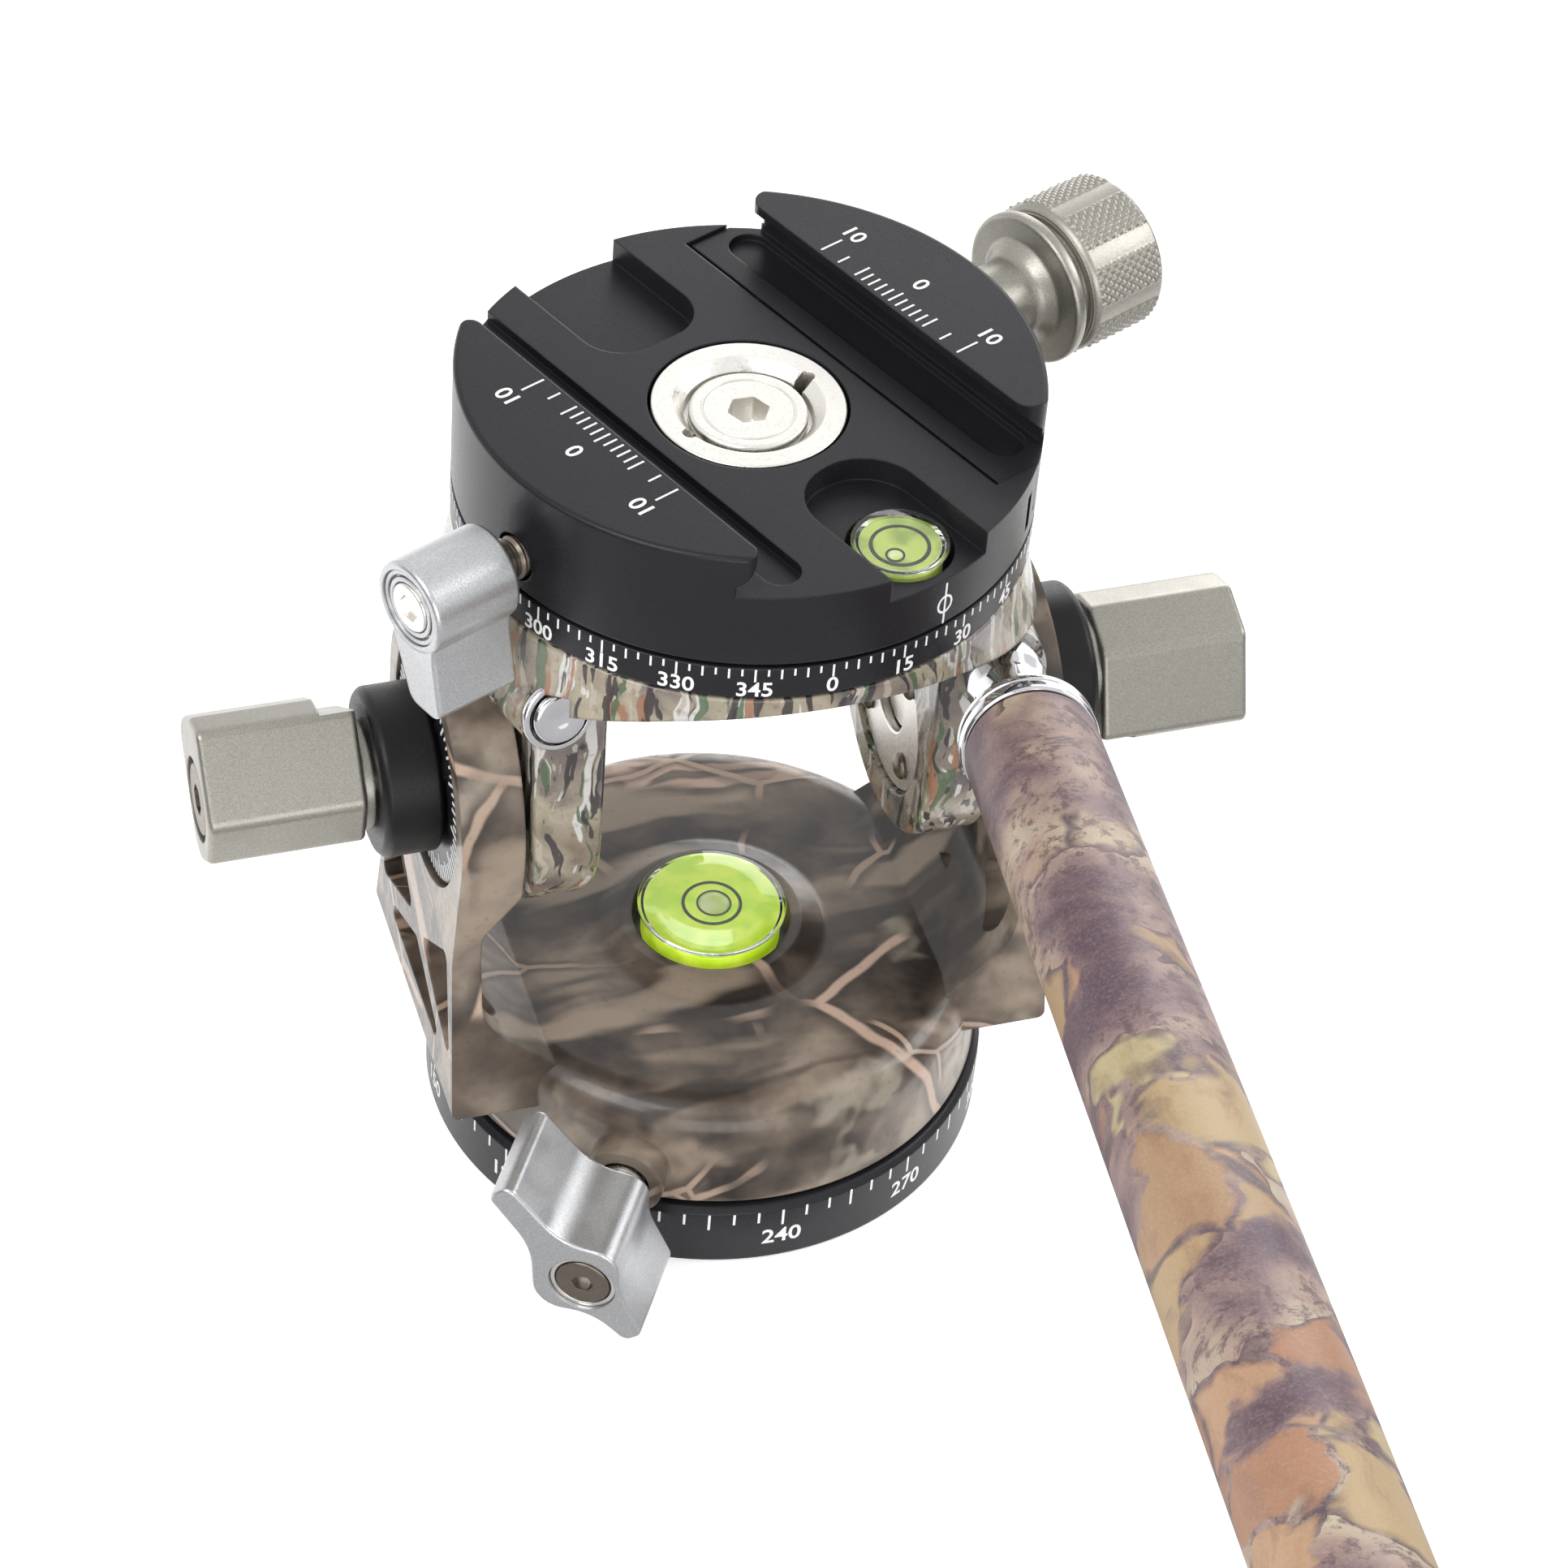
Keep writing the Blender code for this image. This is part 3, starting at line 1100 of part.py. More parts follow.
def jaw_knob_parts():
    frame = KNOB_FRAME
    screw_end = JAW_FLANGE + JAW_FLANGE_H
    knob = turned("jaw_knob", [
        (0, JAW_KNOB_OUT),
        (JAW_KNOB_R, JAW_KNOB_OUT, JAW_KNOB_ROUND),
        (JAW_KNOB_R, JAW_FLANGE + JAW_FLANGE_H + JAW_GROOVE_H, EDGE),
        (JAW_GROOVE_R, JAW_FLANGE + JAW_FLANGE_H + JAW_GROOVE_H),
        (JAW_GROOVE_R, JAW_FLANGE + JAW_FLANGE_H),
        (JAW_FLANGE_R, JAW_FLANGE + JAW_FLANGE_H, EDGE),
        (JAW_FLANGE_R, JAW_FLANGE, EDGE),
        (JAW_NECK_R + JAW_FLANGE_H, JAW_FLANGE),
        (JAW_NECK_R, JAW_FLANGE - JAW_FLANGE_H),
        (JAW_NECK_R, JAW_SEAT + GAP),
        (0, JAW_SEAT + GAP),
    ], frame, "warm_grey", MID_SIDES)
    cut(knob, turned("jaw_knob_cone", [
        (0, JAW_KNOB_OUT + OVERRUN),
        (JAW_CONE_R, JAW_KNOB_OUT + OVERRUN),
        (JAW_CONE_R, JAW_KNOB_OUT - EDGE),
        (0, JAW_KNOB_OUT - JAW_CONE_DEEP),
    ], frame, sides=MID_SIDES))
    cut(knob, rod("jaw_knob_bore", JAW_SCREW_R + GAP, JAW_SEAT - OVERRUN, screw_end + GAP, frame,
                  sides=SMALL_SIDES))
    rod("jaw_screw", JAW_SCREW_R, JAW_SCREW_IN, screw_end, frame, "steel", SMALL_SIDES)
    turned("jaw_washer", [
        (JAW_WASHER_R, JAW_SEAT),
        (JAW_WASHER_R, JAW_SEAT - JAW_WASHER_H),
        (JAW_SCREW_R + GAP, JAW_SEAT - JAW_WASHER_H),
        (JAW_SCREW_R + GAP, JAW_SEAT),
    ], frame, "steel", SMALL_SIDES, ring=True)


def clamp_lock_parts():
    frame = PAN_LOCK_FRAME
    lever = rod("clamp_lock_lever", PAN_HUB_R, PAN_HUB_IN, PAN_HUB_OUT, frame, "silver_grey", MID_SIDES)
    tail = slab("clamp_lock_tail", rounded(PAN_TAIL_OUTLINE), PAN_HUB_IN + EDGE, PAN_HUB_OUT - EDGE, frame)
    fuse(lever, tail)
    floor = PAN_HUB_OUT - PAN_RECESS
    head = floor + GAP
    shank = PAN_CAP_R / 2
    stud_end = floor - PAN_CAP_R
    cut(lever, rod("clamp_lock_recess", PAN_CAP_R + GAP, floor, PAN_HUB_OUT + OVERRUN, frame,
                   sides=SMALL_SIDES))
    cut(lever, rod("clamp_lock_screw_hole", AXLE_R / 2 + GAP, head - shank - GAP, head + OVERRUN, frame,
                   sides=TINY_SIDES))
    cut(lever, rod("clamp_lock_stud_hole", PAN_STUD_R + GAP, PAN_HUB_IN - OVERRUN, stud_end + GAP, frame,
                   sides=SMALL_SIDES))
    stud_in = CLAMP_SPINDLE_R + 2 * GAP + PAN_PAD_LENGTH
    rod("clamp_lock_stud", PAN_STUD_R, stud_in, stud_end, frame, "steel", SMALL_SIDES)
    socket_screw("clamp_lock_screw", frame, "steel", PAN_CAP_R, head, PAN_CAP_H, AXLE_R / 2, shank,
                 LOCK_SOCKET_R)


HANDS = (("right", 1), ("left", -1))
TILT_FRAMES = {side: axis_frame("tilt_axis_" + side, (0, 0, TILT_H), (sign, 0, 0), (0, sign, 0))
               for side, sign in HANDS}
HANDLE_FRAMES = {side: handle_frame("handle_axis_" + side, sign) for side, sign in HANDS}
ARM_RING_SEAT = ARM_OUTER_TOP - ANGLE_RING_H - 2 * GAP
FRICTION_SEAT = ARM_INNER - GAP - FRICTION_H - GAP
PLATE_SCREW_SEAT = CHEEK_INNER + PLATE_RECESS - GAP - PLATE_H - GAP
LOCK_OUT = (math.sin(LOCK_ANGLE), -math.cos(LOCK_ANGLE), 0)
LOCK_RIGHT = (math.cos(LOCK_ANGLE), math.sin(LOCK_ANGLE), 0)
LOCK_FRAME = axis_frame("base_lock_axis", (0, 0, LOCK_H), LOCK_OUT, LOCK_RIGHT)
ACROSS = Vector((math.cos(CLAMP_TURN), math.sin(CLAMP_TURN), 0))
ALONG = Vector((-math.sin(CLAMP_TURN), math.cos(CLAMP_TURN), 0))
CLAMP_FRAME = axis_frame("clamp_pan_axis", (0, 0, 0), (0, 0, 1), ACROSS)
SECTION_FRAME = axis_frame("clamp_section", (0, 0, 0), -ALONG, ACROSS)
LEVEL_FRAME = axis_frame("clamp_level_axis", -ALONG * CLAMP_LEVEL_AT, (0, 0, 1), ACROSS)
KNOB_FRAME = axis_frame("jaw_knob_axis", (0, 0, JAW_AXIS_H), ACROSS, ALONG)
PAN_LOCK_FRAME = axis_frame("clamp_lock_axis", (0, 0, PAN_LOCK_H), -ACROSS, -ALONG)

base_parts()
yoke_parts()
base_lock_parts()
for hand, _ in HANDS:
    tilt_knob_parts(hand)
cradle_parts()
handle_parts()
clamp_parts()
moving_jaw()
jaw_knob_parts()
clamp_lock_parts()
bpy.context.view_layer.update()
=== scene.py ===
# %% [markdown]
# # A monopod tilt head, dressed for its photograph
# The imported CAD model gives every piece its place. This script refines the pieces that show and
# gives them their finishes. Sizes are in millimetres until a piece is put in its seat, which turns
# them into metres. +Z is up, +X runs along the tilt axis, and the handle points towards -Y.

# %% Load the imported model
import math

import bmesh
import bpy
from mathutils import Matrix, Vector


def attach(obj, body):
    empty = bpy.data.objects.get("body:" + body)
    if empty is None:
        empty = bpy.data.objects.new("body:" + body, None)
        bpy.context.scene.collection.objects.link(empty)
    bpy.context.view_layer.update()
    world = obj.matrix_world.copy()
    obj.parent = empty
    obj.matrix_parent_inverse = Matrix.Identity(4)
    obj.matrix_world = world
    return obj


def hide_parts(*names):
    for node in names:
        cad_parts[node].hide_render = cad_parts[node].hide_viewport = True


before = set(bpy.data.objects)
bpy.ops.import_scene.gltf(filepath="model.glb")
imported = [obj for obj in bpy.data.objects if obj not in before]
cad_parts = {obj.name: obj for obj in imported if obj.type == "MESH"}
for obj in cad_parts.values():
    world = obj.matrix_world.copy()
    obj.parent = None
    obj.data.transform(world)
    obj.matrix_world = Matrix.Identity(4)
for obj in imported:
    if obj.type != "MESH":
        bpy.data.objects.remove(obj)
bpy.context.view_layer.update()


def put(name, data):
    """A new object of the scene, made of this data."""
    thing = bpy.data.objects.new(name, data)
    bpy.context.scene.collection.objects.link(thing)
    return thing


def meshed(name, shape):
    """A bmesh as plain mesh data."""
    mesh = bpy.data.meshes.new(name)
    shape.to_mesh(mesh)
    shape.free()
    return mesh


# %% [markdown]
# ## Camera, light and floor
# The camera stands where the photographer stood: in front, a little to the left and well above.
# The light is a studio tent, so lamps are wide and soft. The floor and the air look white to the
# camera and to anything shiny, while the object itself gets only plain light.

# %% Camera
LENS = 111.82
camera_data = bpy.data.cameras.new("photo_view")
camera_data.lens = LENS
camera_data.sensor_width = 36
camera = put("photo_view", camera_data)
to_right = Vector((0.95521563, -0.28908363, 0.06319618))
to_top = Vector((0.15437158, 0.66902382, 0.7270327))
to_camera = to_right.cross(to_top)
camera_place = Vector((-0.120644, -0.346047, 0.384855))
turn = Matrix((to_right, to_top, to_camera)).transposed().to_4x4()
camera.matrix_world = Matrix.Translation(camera_place) @ turn
bpy.context.scene.camera = camera
bpy.context.scene.view_settings.view_transform = "Standard"
print("camera at", [round(x, 3) for x in camera.location])


# %% [markdown]
# ## Materials as sums
# A surface that varies is arithmetic on textures. A Signal wraps one node socket, so that ordinary
# operators add Math nodes, and a Finish is a material that makes every other kind of node.

# %% Shader helpers
class Signal:
    """A socket of a finish or a recipe. Arithmetic on it adds Math nodes."""

    def __init__(self, owner, socket):
        self.owner = owner
        self.socket = socket

    def math(self, operation, first, second):
        return self.owner.node("ShaderNodeMath", {"operation": operation}, {0: first, 1: second})

    def __add__(self, other):
        return self.math("ADD", self, other)

    def __radd__(self, other):
        return self.math("ADD", other, self)

    def __sub__(self, other):
        return self.math("SUBTRACT", self, other)

    def __rsub__(self, other):
        return self.math("SUBTRACT", other, self)

    def __mul__(self, other):
        return self.math("MULTIPLY", self, other)

    def __rmul__(self, other):
        return self.math("MULTIPLY", other, self)

    def __truediv__(self, other):
        return self.math("DIVIDE", self, other)


class Finish:
    """A material under construction, with the record's slot that it belongs to."""

    def __init__(self, name, slot=None):
        self.material = bpy.data.materials.new(name)
        self.material.use_nodes = True
        self.nodes = self.material.node_tree.nodes
        self.links = self.material.node_tree.links
        self.shader = self.nodes["Principled BSDF"]
        self.slot = slot
        self.mm = self.place((1000, 1000, 1000))

    def node(self, kind, settings=None, inputs=None, output=0):
        made = self.nodes.new(kind)
        for key, value in (settings or {}).items():
            if key == "stops":
                ramp = made.color_ramp.elements
                while len(ramp) < len(value):
                    ramp.new(1)
                for element, (spot, colour) in zip(ramp, value):
                    element.position = spot
                    element.color = (*colour, 1)
            else:
                setattr(made, key, value)
        self.plug(made, inputs or {})
        return Signal(self, made.outputs[output])

    def plug(self, node, inputs):
        for key, value in inputs.items():
            if isinstance(value, Signal):
                self.links.new(value.socket, node.inputs[key])
            else:
                node.inputs[key].default_value = value

    def place(self, scale, turn=(0, 0, 0), source=None):
        source = source or self.node("ShaderNodeTexCoord", output="Object")
        return self.node("ShaderNodeMapping", {}, {"Vector": source, "Scale": scale, "Rotation": turn})

    def noise(self, scale, detail=3, roughness=0.5, where=None, distortion=0):
        return self.node("ShaderNodeTexNoise", {}, {
            "Vector": where or self.mm, "Scale": scale, "Detail": detail,
            "Roughness": roughness, "Distortion": distortion})

    def cells(self, scale, feature="F1", where=None, output=0):
        return self.node("ShaderNodeTexVoronoi", {"feature": feature},
                         {"Vector": where or self.mm, "Scale": scale}, output)

    def ease(self, signal, low, high, start=0, end=1):
        return self.node("ShaderNodeMapRange", {"interpolation_type": "SMOOTHSTEP"}, {
            "Value": signal, "From Min": low, "From Max": high, "To Min": start, "To Max": end})

    def shades(self, signal, stops):
        return self.node("ShaderNodeValToRGB", {"stops": stops}, {"Fac": signal})

    def layer(self, mask, under, over):
        under = under if isinstance(under, Signal) else (*under, 1)
        over = over if isinstance(over, Signal) else (*over, 1)
        return self.node("ShaderNodeMix", {"data_type": "RGBA"}, {0: mask, 6: under, 7: over}, 2)

    def warp(self, amount, scale, where=None):
        where = where or self.mm
        wobble = self.node("ShaderNodeTexNoise", {}, {"Vector": where, "Scale": scale, "Detail": 2}, 1)
        centred = self.node("ShaderNodeVectorMath", {"operation": "SUBTRACT"},
                            {0: wobble, 1: (0.5, 0.5, 0.5)})
        pushed = self.node("ShaderNodeVectorMath", {"operation": "SCALE"}, {0: centred, "Scale": amount})
        return self.node("ShaderNodeVectorMath", {"operation": "ADD"}, {0: where, 1: pushed})

    def relief(self, height, depth, edge=0.15):
        """A normal with edges worn round by edge, and a height of depth; both in millimetres."""
        worn = self.node("ShaderNodeBevel", {"samples": 4}, {"Radius": edge * MM})
        return self.node("ShaderNodeBump", {}, {"Height": height, "Distance": depth * MM, "Normal": worn})

    def done(self, **values):
        """Set the shader's sockets: Base_Color=..., Roughness=... and so on."""
        names = {key.replace("_", " "): value for key, value in values.items()}
        for key, value in list(names.items()):
            if isinstance(value, tuple) and len(value) == 3:
                names[key] = (*value, 1)
        self.plug(self.shader, names)
        return self


def tone(red, green, blue):
    """A colour as a screen shows it, from 0 to 255, turned into the light it stands for."""
    def light(value):
        value /= 255
        return value / 12.92 if value <= 0.04045 else ((value + 0.055) / 1.055) ** 2.4
    return light(red), light(green), light(blue)


MM = 0.001
print("a millimetre is", MM, "m")

# %% Lamps, air and floor
AIR_LIGHT = 0.62
CARD_WEAVE = 1.15
world = bpy.data.worlds.new("studio_air")
bpy.context.scene.world = world
world.use_nodes = True
air = world.node_tree
path = air.nodes.new("ShaderNodeLightPath")
seen = air.nodes.new("ShaderNodeMath")
seen.operation = "MAXIMUM"
mirrored = air.nodes.new("ShaderNodeMath")
mirrored.operation = "MAXIMUM"
air.links.new(path.outputs["Is Glossy Ray"], mirrored.inputs[0])
air.links.new(path.outputs["Is Transmission Ray"], mirrored.inputs[1])
air.links.new(path.outputs["Is Camera Ray"], seen.inputs[0])
air.links.new(mirrored.outputs[0], seen.inputs[1])
level = air.nodes.new("ShaderNodeMapRange")
level.inputs["To Min"].default_value = AIR_LIGHT
level.inputs["To Max"].default_value = 1
air.links.new(seen.outputs[0], level.inputs["Value"])
backdrop = air.nodes["Background"]
backdrop.inputs["Color"].default_value = (1, 1, 1, 1)
air.links.new(level.outputs[0], backdrop.inputs["Strength"])


def lamp(name, place, size, power):
    """A square soft box that points at the middle of the head."""
    light = bpy.data.lights.new(name, "AREA")
    light.size = size
    light.energy = power
    thing = put(name, light)
    thing.location = place
    thing.rotation_mode = "QUATERNION"
    thing.rotation_quaternion = (Vector(place) - Vector((0, 0, 0.05))).to_track_quat("Z", "Y")


for side, place, size, power in (
    ("left", (-0.55, -0.35, 0.75), 0.5, 4.2),
    ("right", (0.75, -0.10, 0.50), 0.4, 2.4),
    ("back", (0.45, 0.75, 0.30), 0.5, 2.2),
    ("front", (-0.15, -0.85, 0.25), 0.5, 2.2),
):
    lamp("soft_box_" + side, place, size, power)


def flag(name, corners, grey):
    """A card that only shiny surfaces see, so that metal has something dark to reflect."""
    card = bmesh.new()
    card.faces.new([card.verts.new(corner) for corner in corners])
    thing = put(name, meshed(name, card))
    for ray in ("camera", "diffuse", "shadow", "transmission", "volume_scatter"):
        setattr(thing, "visible_" + ray, False)
    card_finish = Finish(name)
    weave = card_finish.noise(0.5, 2)
    lighter = [value * CARD_WEAVE for value in grey]
    card_finish.done(Base_Color=card_finish.layer(weave, grey, lighter), Roughness=0.9)
    thing.data.materials.append(card_finish.material)


cards = {
    "card_on_the_paper": (0.50, (
        (-0.5, -0.6, 0.001), (0.5, -0.6, 0.001), (0.5, -0.034, 0.001), (-0.5, -0.034, 0.001))),
    "card_at_the_left": (0.10, (
        (-0.28, -0.35, 0), (-0.28, 0.10, 0), (-0.28, 0.10, 0.16), (-0.28, -0.35, 0.16))),
    "card_at_the_right": (0.14, (
        (0.28, -0.30, 0), (0.28, 0.15, 0), (0.28, 0.15, 0.13), (0.28, -0.30, 0.13))),
    "card_by_the_camera": (0.05, (
        (-0.42, -0.55, 0.42), (0.02, -0.72, 0.42), (0.02, -0.62, 0.66), (-0.42, -0.45, 0.66))),
}
for name, (grey, corners) in cards.items():
    flag(name, corners, (grey, grey, grey))

sheet = bmesh.new()
bmesh.ops.create_grid(sheet, size=3)
floor = put("studio_floor", meshed("studio_floor", sheet))
paper = Finish("white_paper")
fibres = paper.noise(2.0, 2)
paper.done(Base_Color=paper.layer(fibres, (0.80, 0.80, 0.80), (0.84, 0.84, 0.84)), Roughness=0.9)
path = paper.nodes.new("ShaderNodeLightPath")
seen = Signal(paper, path.outputs["Is Camera Ray"])
mirrored = Signal(paper, path.outputs["Is Glossy Ray"])
through = Signal(paper, path.outputs["Is Transmission Ray"])
glow = seen.math("MAXIMUM", seen, mirrored.math("MAXIMUM", mirrored, through))
white = paper.layer(glow, (0, 0, 0), (1, 1, 1))
paper.done(Emission_Color=white, Emission_Strength=AIR_LIGHT)
floor.data.materials.append(paper.material)
print("four lamps, white air and a paper floor")

# %% [markdown]
# ## Black anodised aluminium
# The clamp, the base and the scale rings are turned from aluminium, blasted with fine glass beads
# and anodised black. Blasting leaves a very fine grain, so the light spreads softly, and each edge
# shows a thin bright line because it is worn round.

# %% Black finishes
black = Finish("black_anodised_satin", "black_anodised")
grain = black.noise(9.0, 2, 0.7)
cloud = black.noise(0.12, 3)
black.done(
    Base_Color=black.layer(cloud, tone(27, 27, 31), tone(36, 36, 40)),
    Roughness=black.ease(grain, 0.2, 0.8, 0.24, 0.36),
    Normal=black.relief(grain, 0.014, 0.25),
    Specular_IOR_Level=0.26)

moulded = Finish("black_moulding", "black_plastic")
pebble = moulded.noise(5.0, 3, 0.6)
moulded.done(
    Base_Color=moulded.layer(pebble, tone(10, 10, 11), tone(20, 20, 21)),
    Roughness=moulded.ease(pebble, 0.3, 0.7, 0.34, 0.46),
    Normal=moulded.relief(pebble, 0.02, 0.3),
    Specular_IOR_Level=0.3)

washer_black = Finish("washer_black", "washer_plastic")
lines = washer_black.noise(2.5, 2)
washer_black.done(
    Base_Color=washer_black.layer(lines, tone(28, 28, 28), tone(40, 40, 40)),
    Roughness=0.6,
    Normal=washer_black.relief(lines, 0.02))

paint = Finish("white_print")
worn = paint.noise(6.0, 3, 0.6)
paint.done(
    Base_Color=paint.shades(worn, [(0.25, tone(206, 206, 208)), (0.5, tone(244, 244, 244))]),
    Roughness=0.55)
print("black finishes made")

# %% [markdown]
# ## Grey, steel, brass and chrome
# The knobs are blasted and anodised in a warm grey, the two lock levers in silver. Blasted metal
# is a mirror broken into tiny facets: a fine bump with a middling roughness. Turned steel keeps the
# marks of the tool, which run round the axis.

# %% Metal finishes
def blasted(name, slot, dark, light, roughness, depth):
    """Bead-blasted, anodised aluminium with a fine sparkling grain."""
    metal = Finish(name, slot)
    beads = metal.noise(6.0, 2, 0.6)
    sparkle = metal.cells(7.0)
    smear = metal.noise(0.2, 3)
    tint = metal.layer(metal.ease(beads, 0.35, 0.65), dark, light)
    soiled = metal.layer(metal.ease(smear, 0.45, 0.75, 0, 0.25), tint, dark)
    metal.done(
        Base_Color=soiled,
        Roughness=metal.ease(smear, 0.3, 0.7, roughness, roughness + 0.08),
        Normal=metal.relief(beads + 0.5 * sparkle, depth, 0.25),
        Metallic=0.85)
    return metal


warm_grey = blasted("warm_grey_blasted", "warm_grey_metal", tone(150, 147, 139), tone(166, 163, 155),
                    0.32, 0.010)
silver = blasted("silver_blasted", "silver_metal", tone(184, 185, 187), tone(204, 205, 207), 0.28, 0.010)


def polished(name, slot, dark, light, roughness, scale):
    """Bright metal: a colour that hardly varies and a polish that does."""
    metal = Finish(name, slot)
    haze = metal.noise(scale, 4, 0.6)
    metal.done(
        Base_Color=metal.layer(haze, dark, light),
        Roughness=metal.ease(haze, 0.3, 0.7, roughness, roughness * 1.6),
        Normal=metal.relief(haze, 0.0006, 0.12),
        Metallic=1.0)
    return metal


steel = polished("turned_steel", "stainless_steel", tone(228, 225, 219), tone(236, 234, 229), 0.26, 3.0)
chrome = polished("chrome_plate", "chrome", tone(200, 200, 204), tone(222, 222, 226), 0.06, 0.5)
brass = polished("turned_brass", "brass", tone(170, 132, 66), tone(206, 168, 98), 0.3, 1.2)
dark_steel = polished("oiled_steel", "stainless_steel", tone(112, 103, 94), tone(146, 136, 125), 0.30, 2.0)
print("metal finishes made")

# %% [markdown]
# ## Woodland films
# The yoke, the cradle and the handle are dipped in a printed film under lacquer. The film here is
# a generic woodland of its own: mottled earth, reeds and twigs on the castings, bark and fallen
# leaves on the tube. Every layer is a mask laid over the one below, largest shapes first.

# %% Woodland film of the yoke
wood = Finish("woodland_film_yoke", "camo_film")
bent = wood.warp(6, 0.06)
earth = wood.noise(0.060, 4, 0.55, bent)
ground = wood.shades(earth, [
    (0.36, tone(38, 32, 28)),
    (0.45, tone(76, 66, 58)),
    (0.54, tone(106, 93, 82)),
    (0.64, tone(146, 132, 117))])
reeds = wood.noise(0.09, 2, 0.5, wood.place((0.35, 1.8, 1.0), (0.2, 0.4, 0.9), bent))
ground = wood.layer(wood.ease(reeds, 0.53, 0.64, 0, 0.75), ground, tone(160, 144, 126))
ground = wood.layer(wood.ease(reeds, 0.44, 0.34, 0, 0.85), ground, tone(44, 37, 33))
moss = wood.noise(0.045, 3, 0.6, wood.warp(6, 0.2))
ground = wood.layer(wood.ease(moss, 0.60, 0.66, 0, 0.6), ground, tone(168, 158, 142))
for turn, width, size, colour in ((0.3, 0.020, 0.030, tone(190, 164, 146)),
                                  (1.9, 0.015, 0.044, tone(172, 150, 132))):
    where = wood.place((0.7, 1.0, 1.0), (0.1, turn, turn), wood.warp(2.5, 0.10))
    web = wood.cells(size, "DISTANCE_TO_EDGE", where)
    broken = wood.ease(wood.noise(0.05, 2, 0.5, where), 0.46, 0.52)
    shadow = wood.ease(web, width * 3.0, width * 0.8) * broken
    ground = wood.layer(shadow * 0.6, ground, tone(44, 36, 32))
    ground = wood.layer(wood.ease(web, width, width * 0.4) * broken * 0.95, ground, colour)
speckle = wood.noise(1.1, 4, 0.7)
ground = wood.layer(wood.ease(speckle, 0.55, 0.75, 0, 0.35), ground, tone(60, 50, 46))
wood.done(
    Base_Color=ground,
    Roughness=wood.ease(speckle, 0.3, 0.7, 0.28, 0.40),
    Normal=wood.relief(wood.noise(0.6, 2), 0.02, 0.4),
    Specular_IOR_Level=0.4,
    Coat_Weight=0.25,
    Coat_Roughness=0.10)

# %% Woodland film of the cradle
reed = Finish("woodland_film_cradle", "camo_film")
bent = reed.warp(6, 0.10)
sky = reed.noise(0.075, 3, 0.55, bent)
ground = reed.shades(sky, [
    (0.34, tone(84, 76, 84)),
    (0.45, tone(128, 118, 108)),
    (0.56, tone(166, 156, 136)),
    (0.70, tone(122, 108, 92))])
blades = (
    (0.35, 0.13, 0.575, tone(206, 204, 200)),
    (-0.45, 0.12, 0.60, tone(150, 104, 76)),
    (0.15, 0.15, 0.60, tone(74, 96, 66)),
    (-0.15, 0.17, 0.57, tone(44, 38, 42)),
    (0.80, 0.20, 0.61, tone(178, 168, 152)),
)
for lean, scale, start, colour in blades:
    where = reed.place((4.6, 4.6, 0.42), (lean, lean * 1.7, lean), bent)
    blade = reed.noise(scale, 2, 0.45, where)
    ground = reed.layer(reed.ease(blade, start, start + 0.025, 0, 0.9), ground, colour)
vein = reed.noise(0.9, 4, 0.65)
ground = reed.layer(reed.ease(vein, 0.52, 0.72, 0, 0.4), ground, tone(66, 56, 58))
reed.done(
    Base_Color=ground,
    Roughness=reed.ease(vein, 0.3, 0.7, 0.22, 0.34),
    Normal=reed.relief(reed.noise(0.6, 2), 0.02, 0.4),
    Coat_Weight=0.4,
    Coat_Roughness=0.06)
print("films of the castings made")

# %% [markdown]
# The tube's film has larger shapes and softer edges than the castings'. Its pattern runs along the
# tube, so the Mapping node first turns the tube's axis upright.

# %% Woodland film of the handle
HANDLE_YAW = math.radians(-9.34)
HANDLE_PITCH = math.radians(13.7)
HANDLE_HEADING = Vector((math.sin(HANDLE_YAW) * math.cos(HANDLE_PITCH),
                         -math.cos(HANDLE_YAW) * math.cos(HANDLE_PITCH),
                         math.sin(HANDLE_PITCH)))
leaf = Finish("woodland_film_handle", "handle_film")
upright = HANDLE_HEADING.to_track_quat("Z", "Y").inverted().to_euler()
along = leaf.place((1, 1, 1), upright, leaf.mm)
bent = leaf.warp(8, 0.09, along)
loose = leaf.warp(8, 0.15, bent)
drift = leaf.noise(0.060, 4, 0.55, bent)
ground = leaf.shades(drift, [
    (0.38, tone(92, 70, 82)),
    (0.47, tone(138, 112, 112)),
    (0.56, tone(176, 152, 136)),
    (0.68, tone(202, 192, 166))])
bark = leaf.noise(0.55, 7, 0.75, bent)
crust = leaf.ease(leaf.noise(0.040, 2, 0.5, along), 0.36, 0.50)
ground = leaf.layer(leaf.ease(bark, 0.49, 0.60) * crust * 0.85, ground, tone(96, 74, 80))
patch = leaf.cells(0.095, "F1", loose, 1)
pick = leaf.node("ShaderNodeSeparateColor", {}, {"Color": patch})
rim = leaf.cells(0.095, "DISTANCE_TO_EDGE", loose)
leaves = leaf.shades(pick, [
    (0.60, tone(178, 138, 100)),
    (0.72, tone(190, 176, 132)),
    (0.84, tone(164, 112, 84)),
    (0.94, tone(188, 150, 116))])
far = leaf.node("ShaderNodeSeparateXYZ", {}, {0: along}, 2)
chosen = leaf.ease(pick, 0.57, 0.58) * leaf.ease(drift, 0.42, 0.48) * leaf.ease(far, 64, 92)
veined = leaf.noise(0.35, 4, 0.6, leaf.place((1, 1, 0.25), (0.5, 0, 0), bent))
leaves = leaf.layer(leaf.ease(veined, 0.48, 0.70, 0, 0.55), leaves, tone(150, 108, 84))
ground = leaf.layer(leaf.ease(rim, 0.020, 0.060) * chosen * 0.95, ground, leaves)
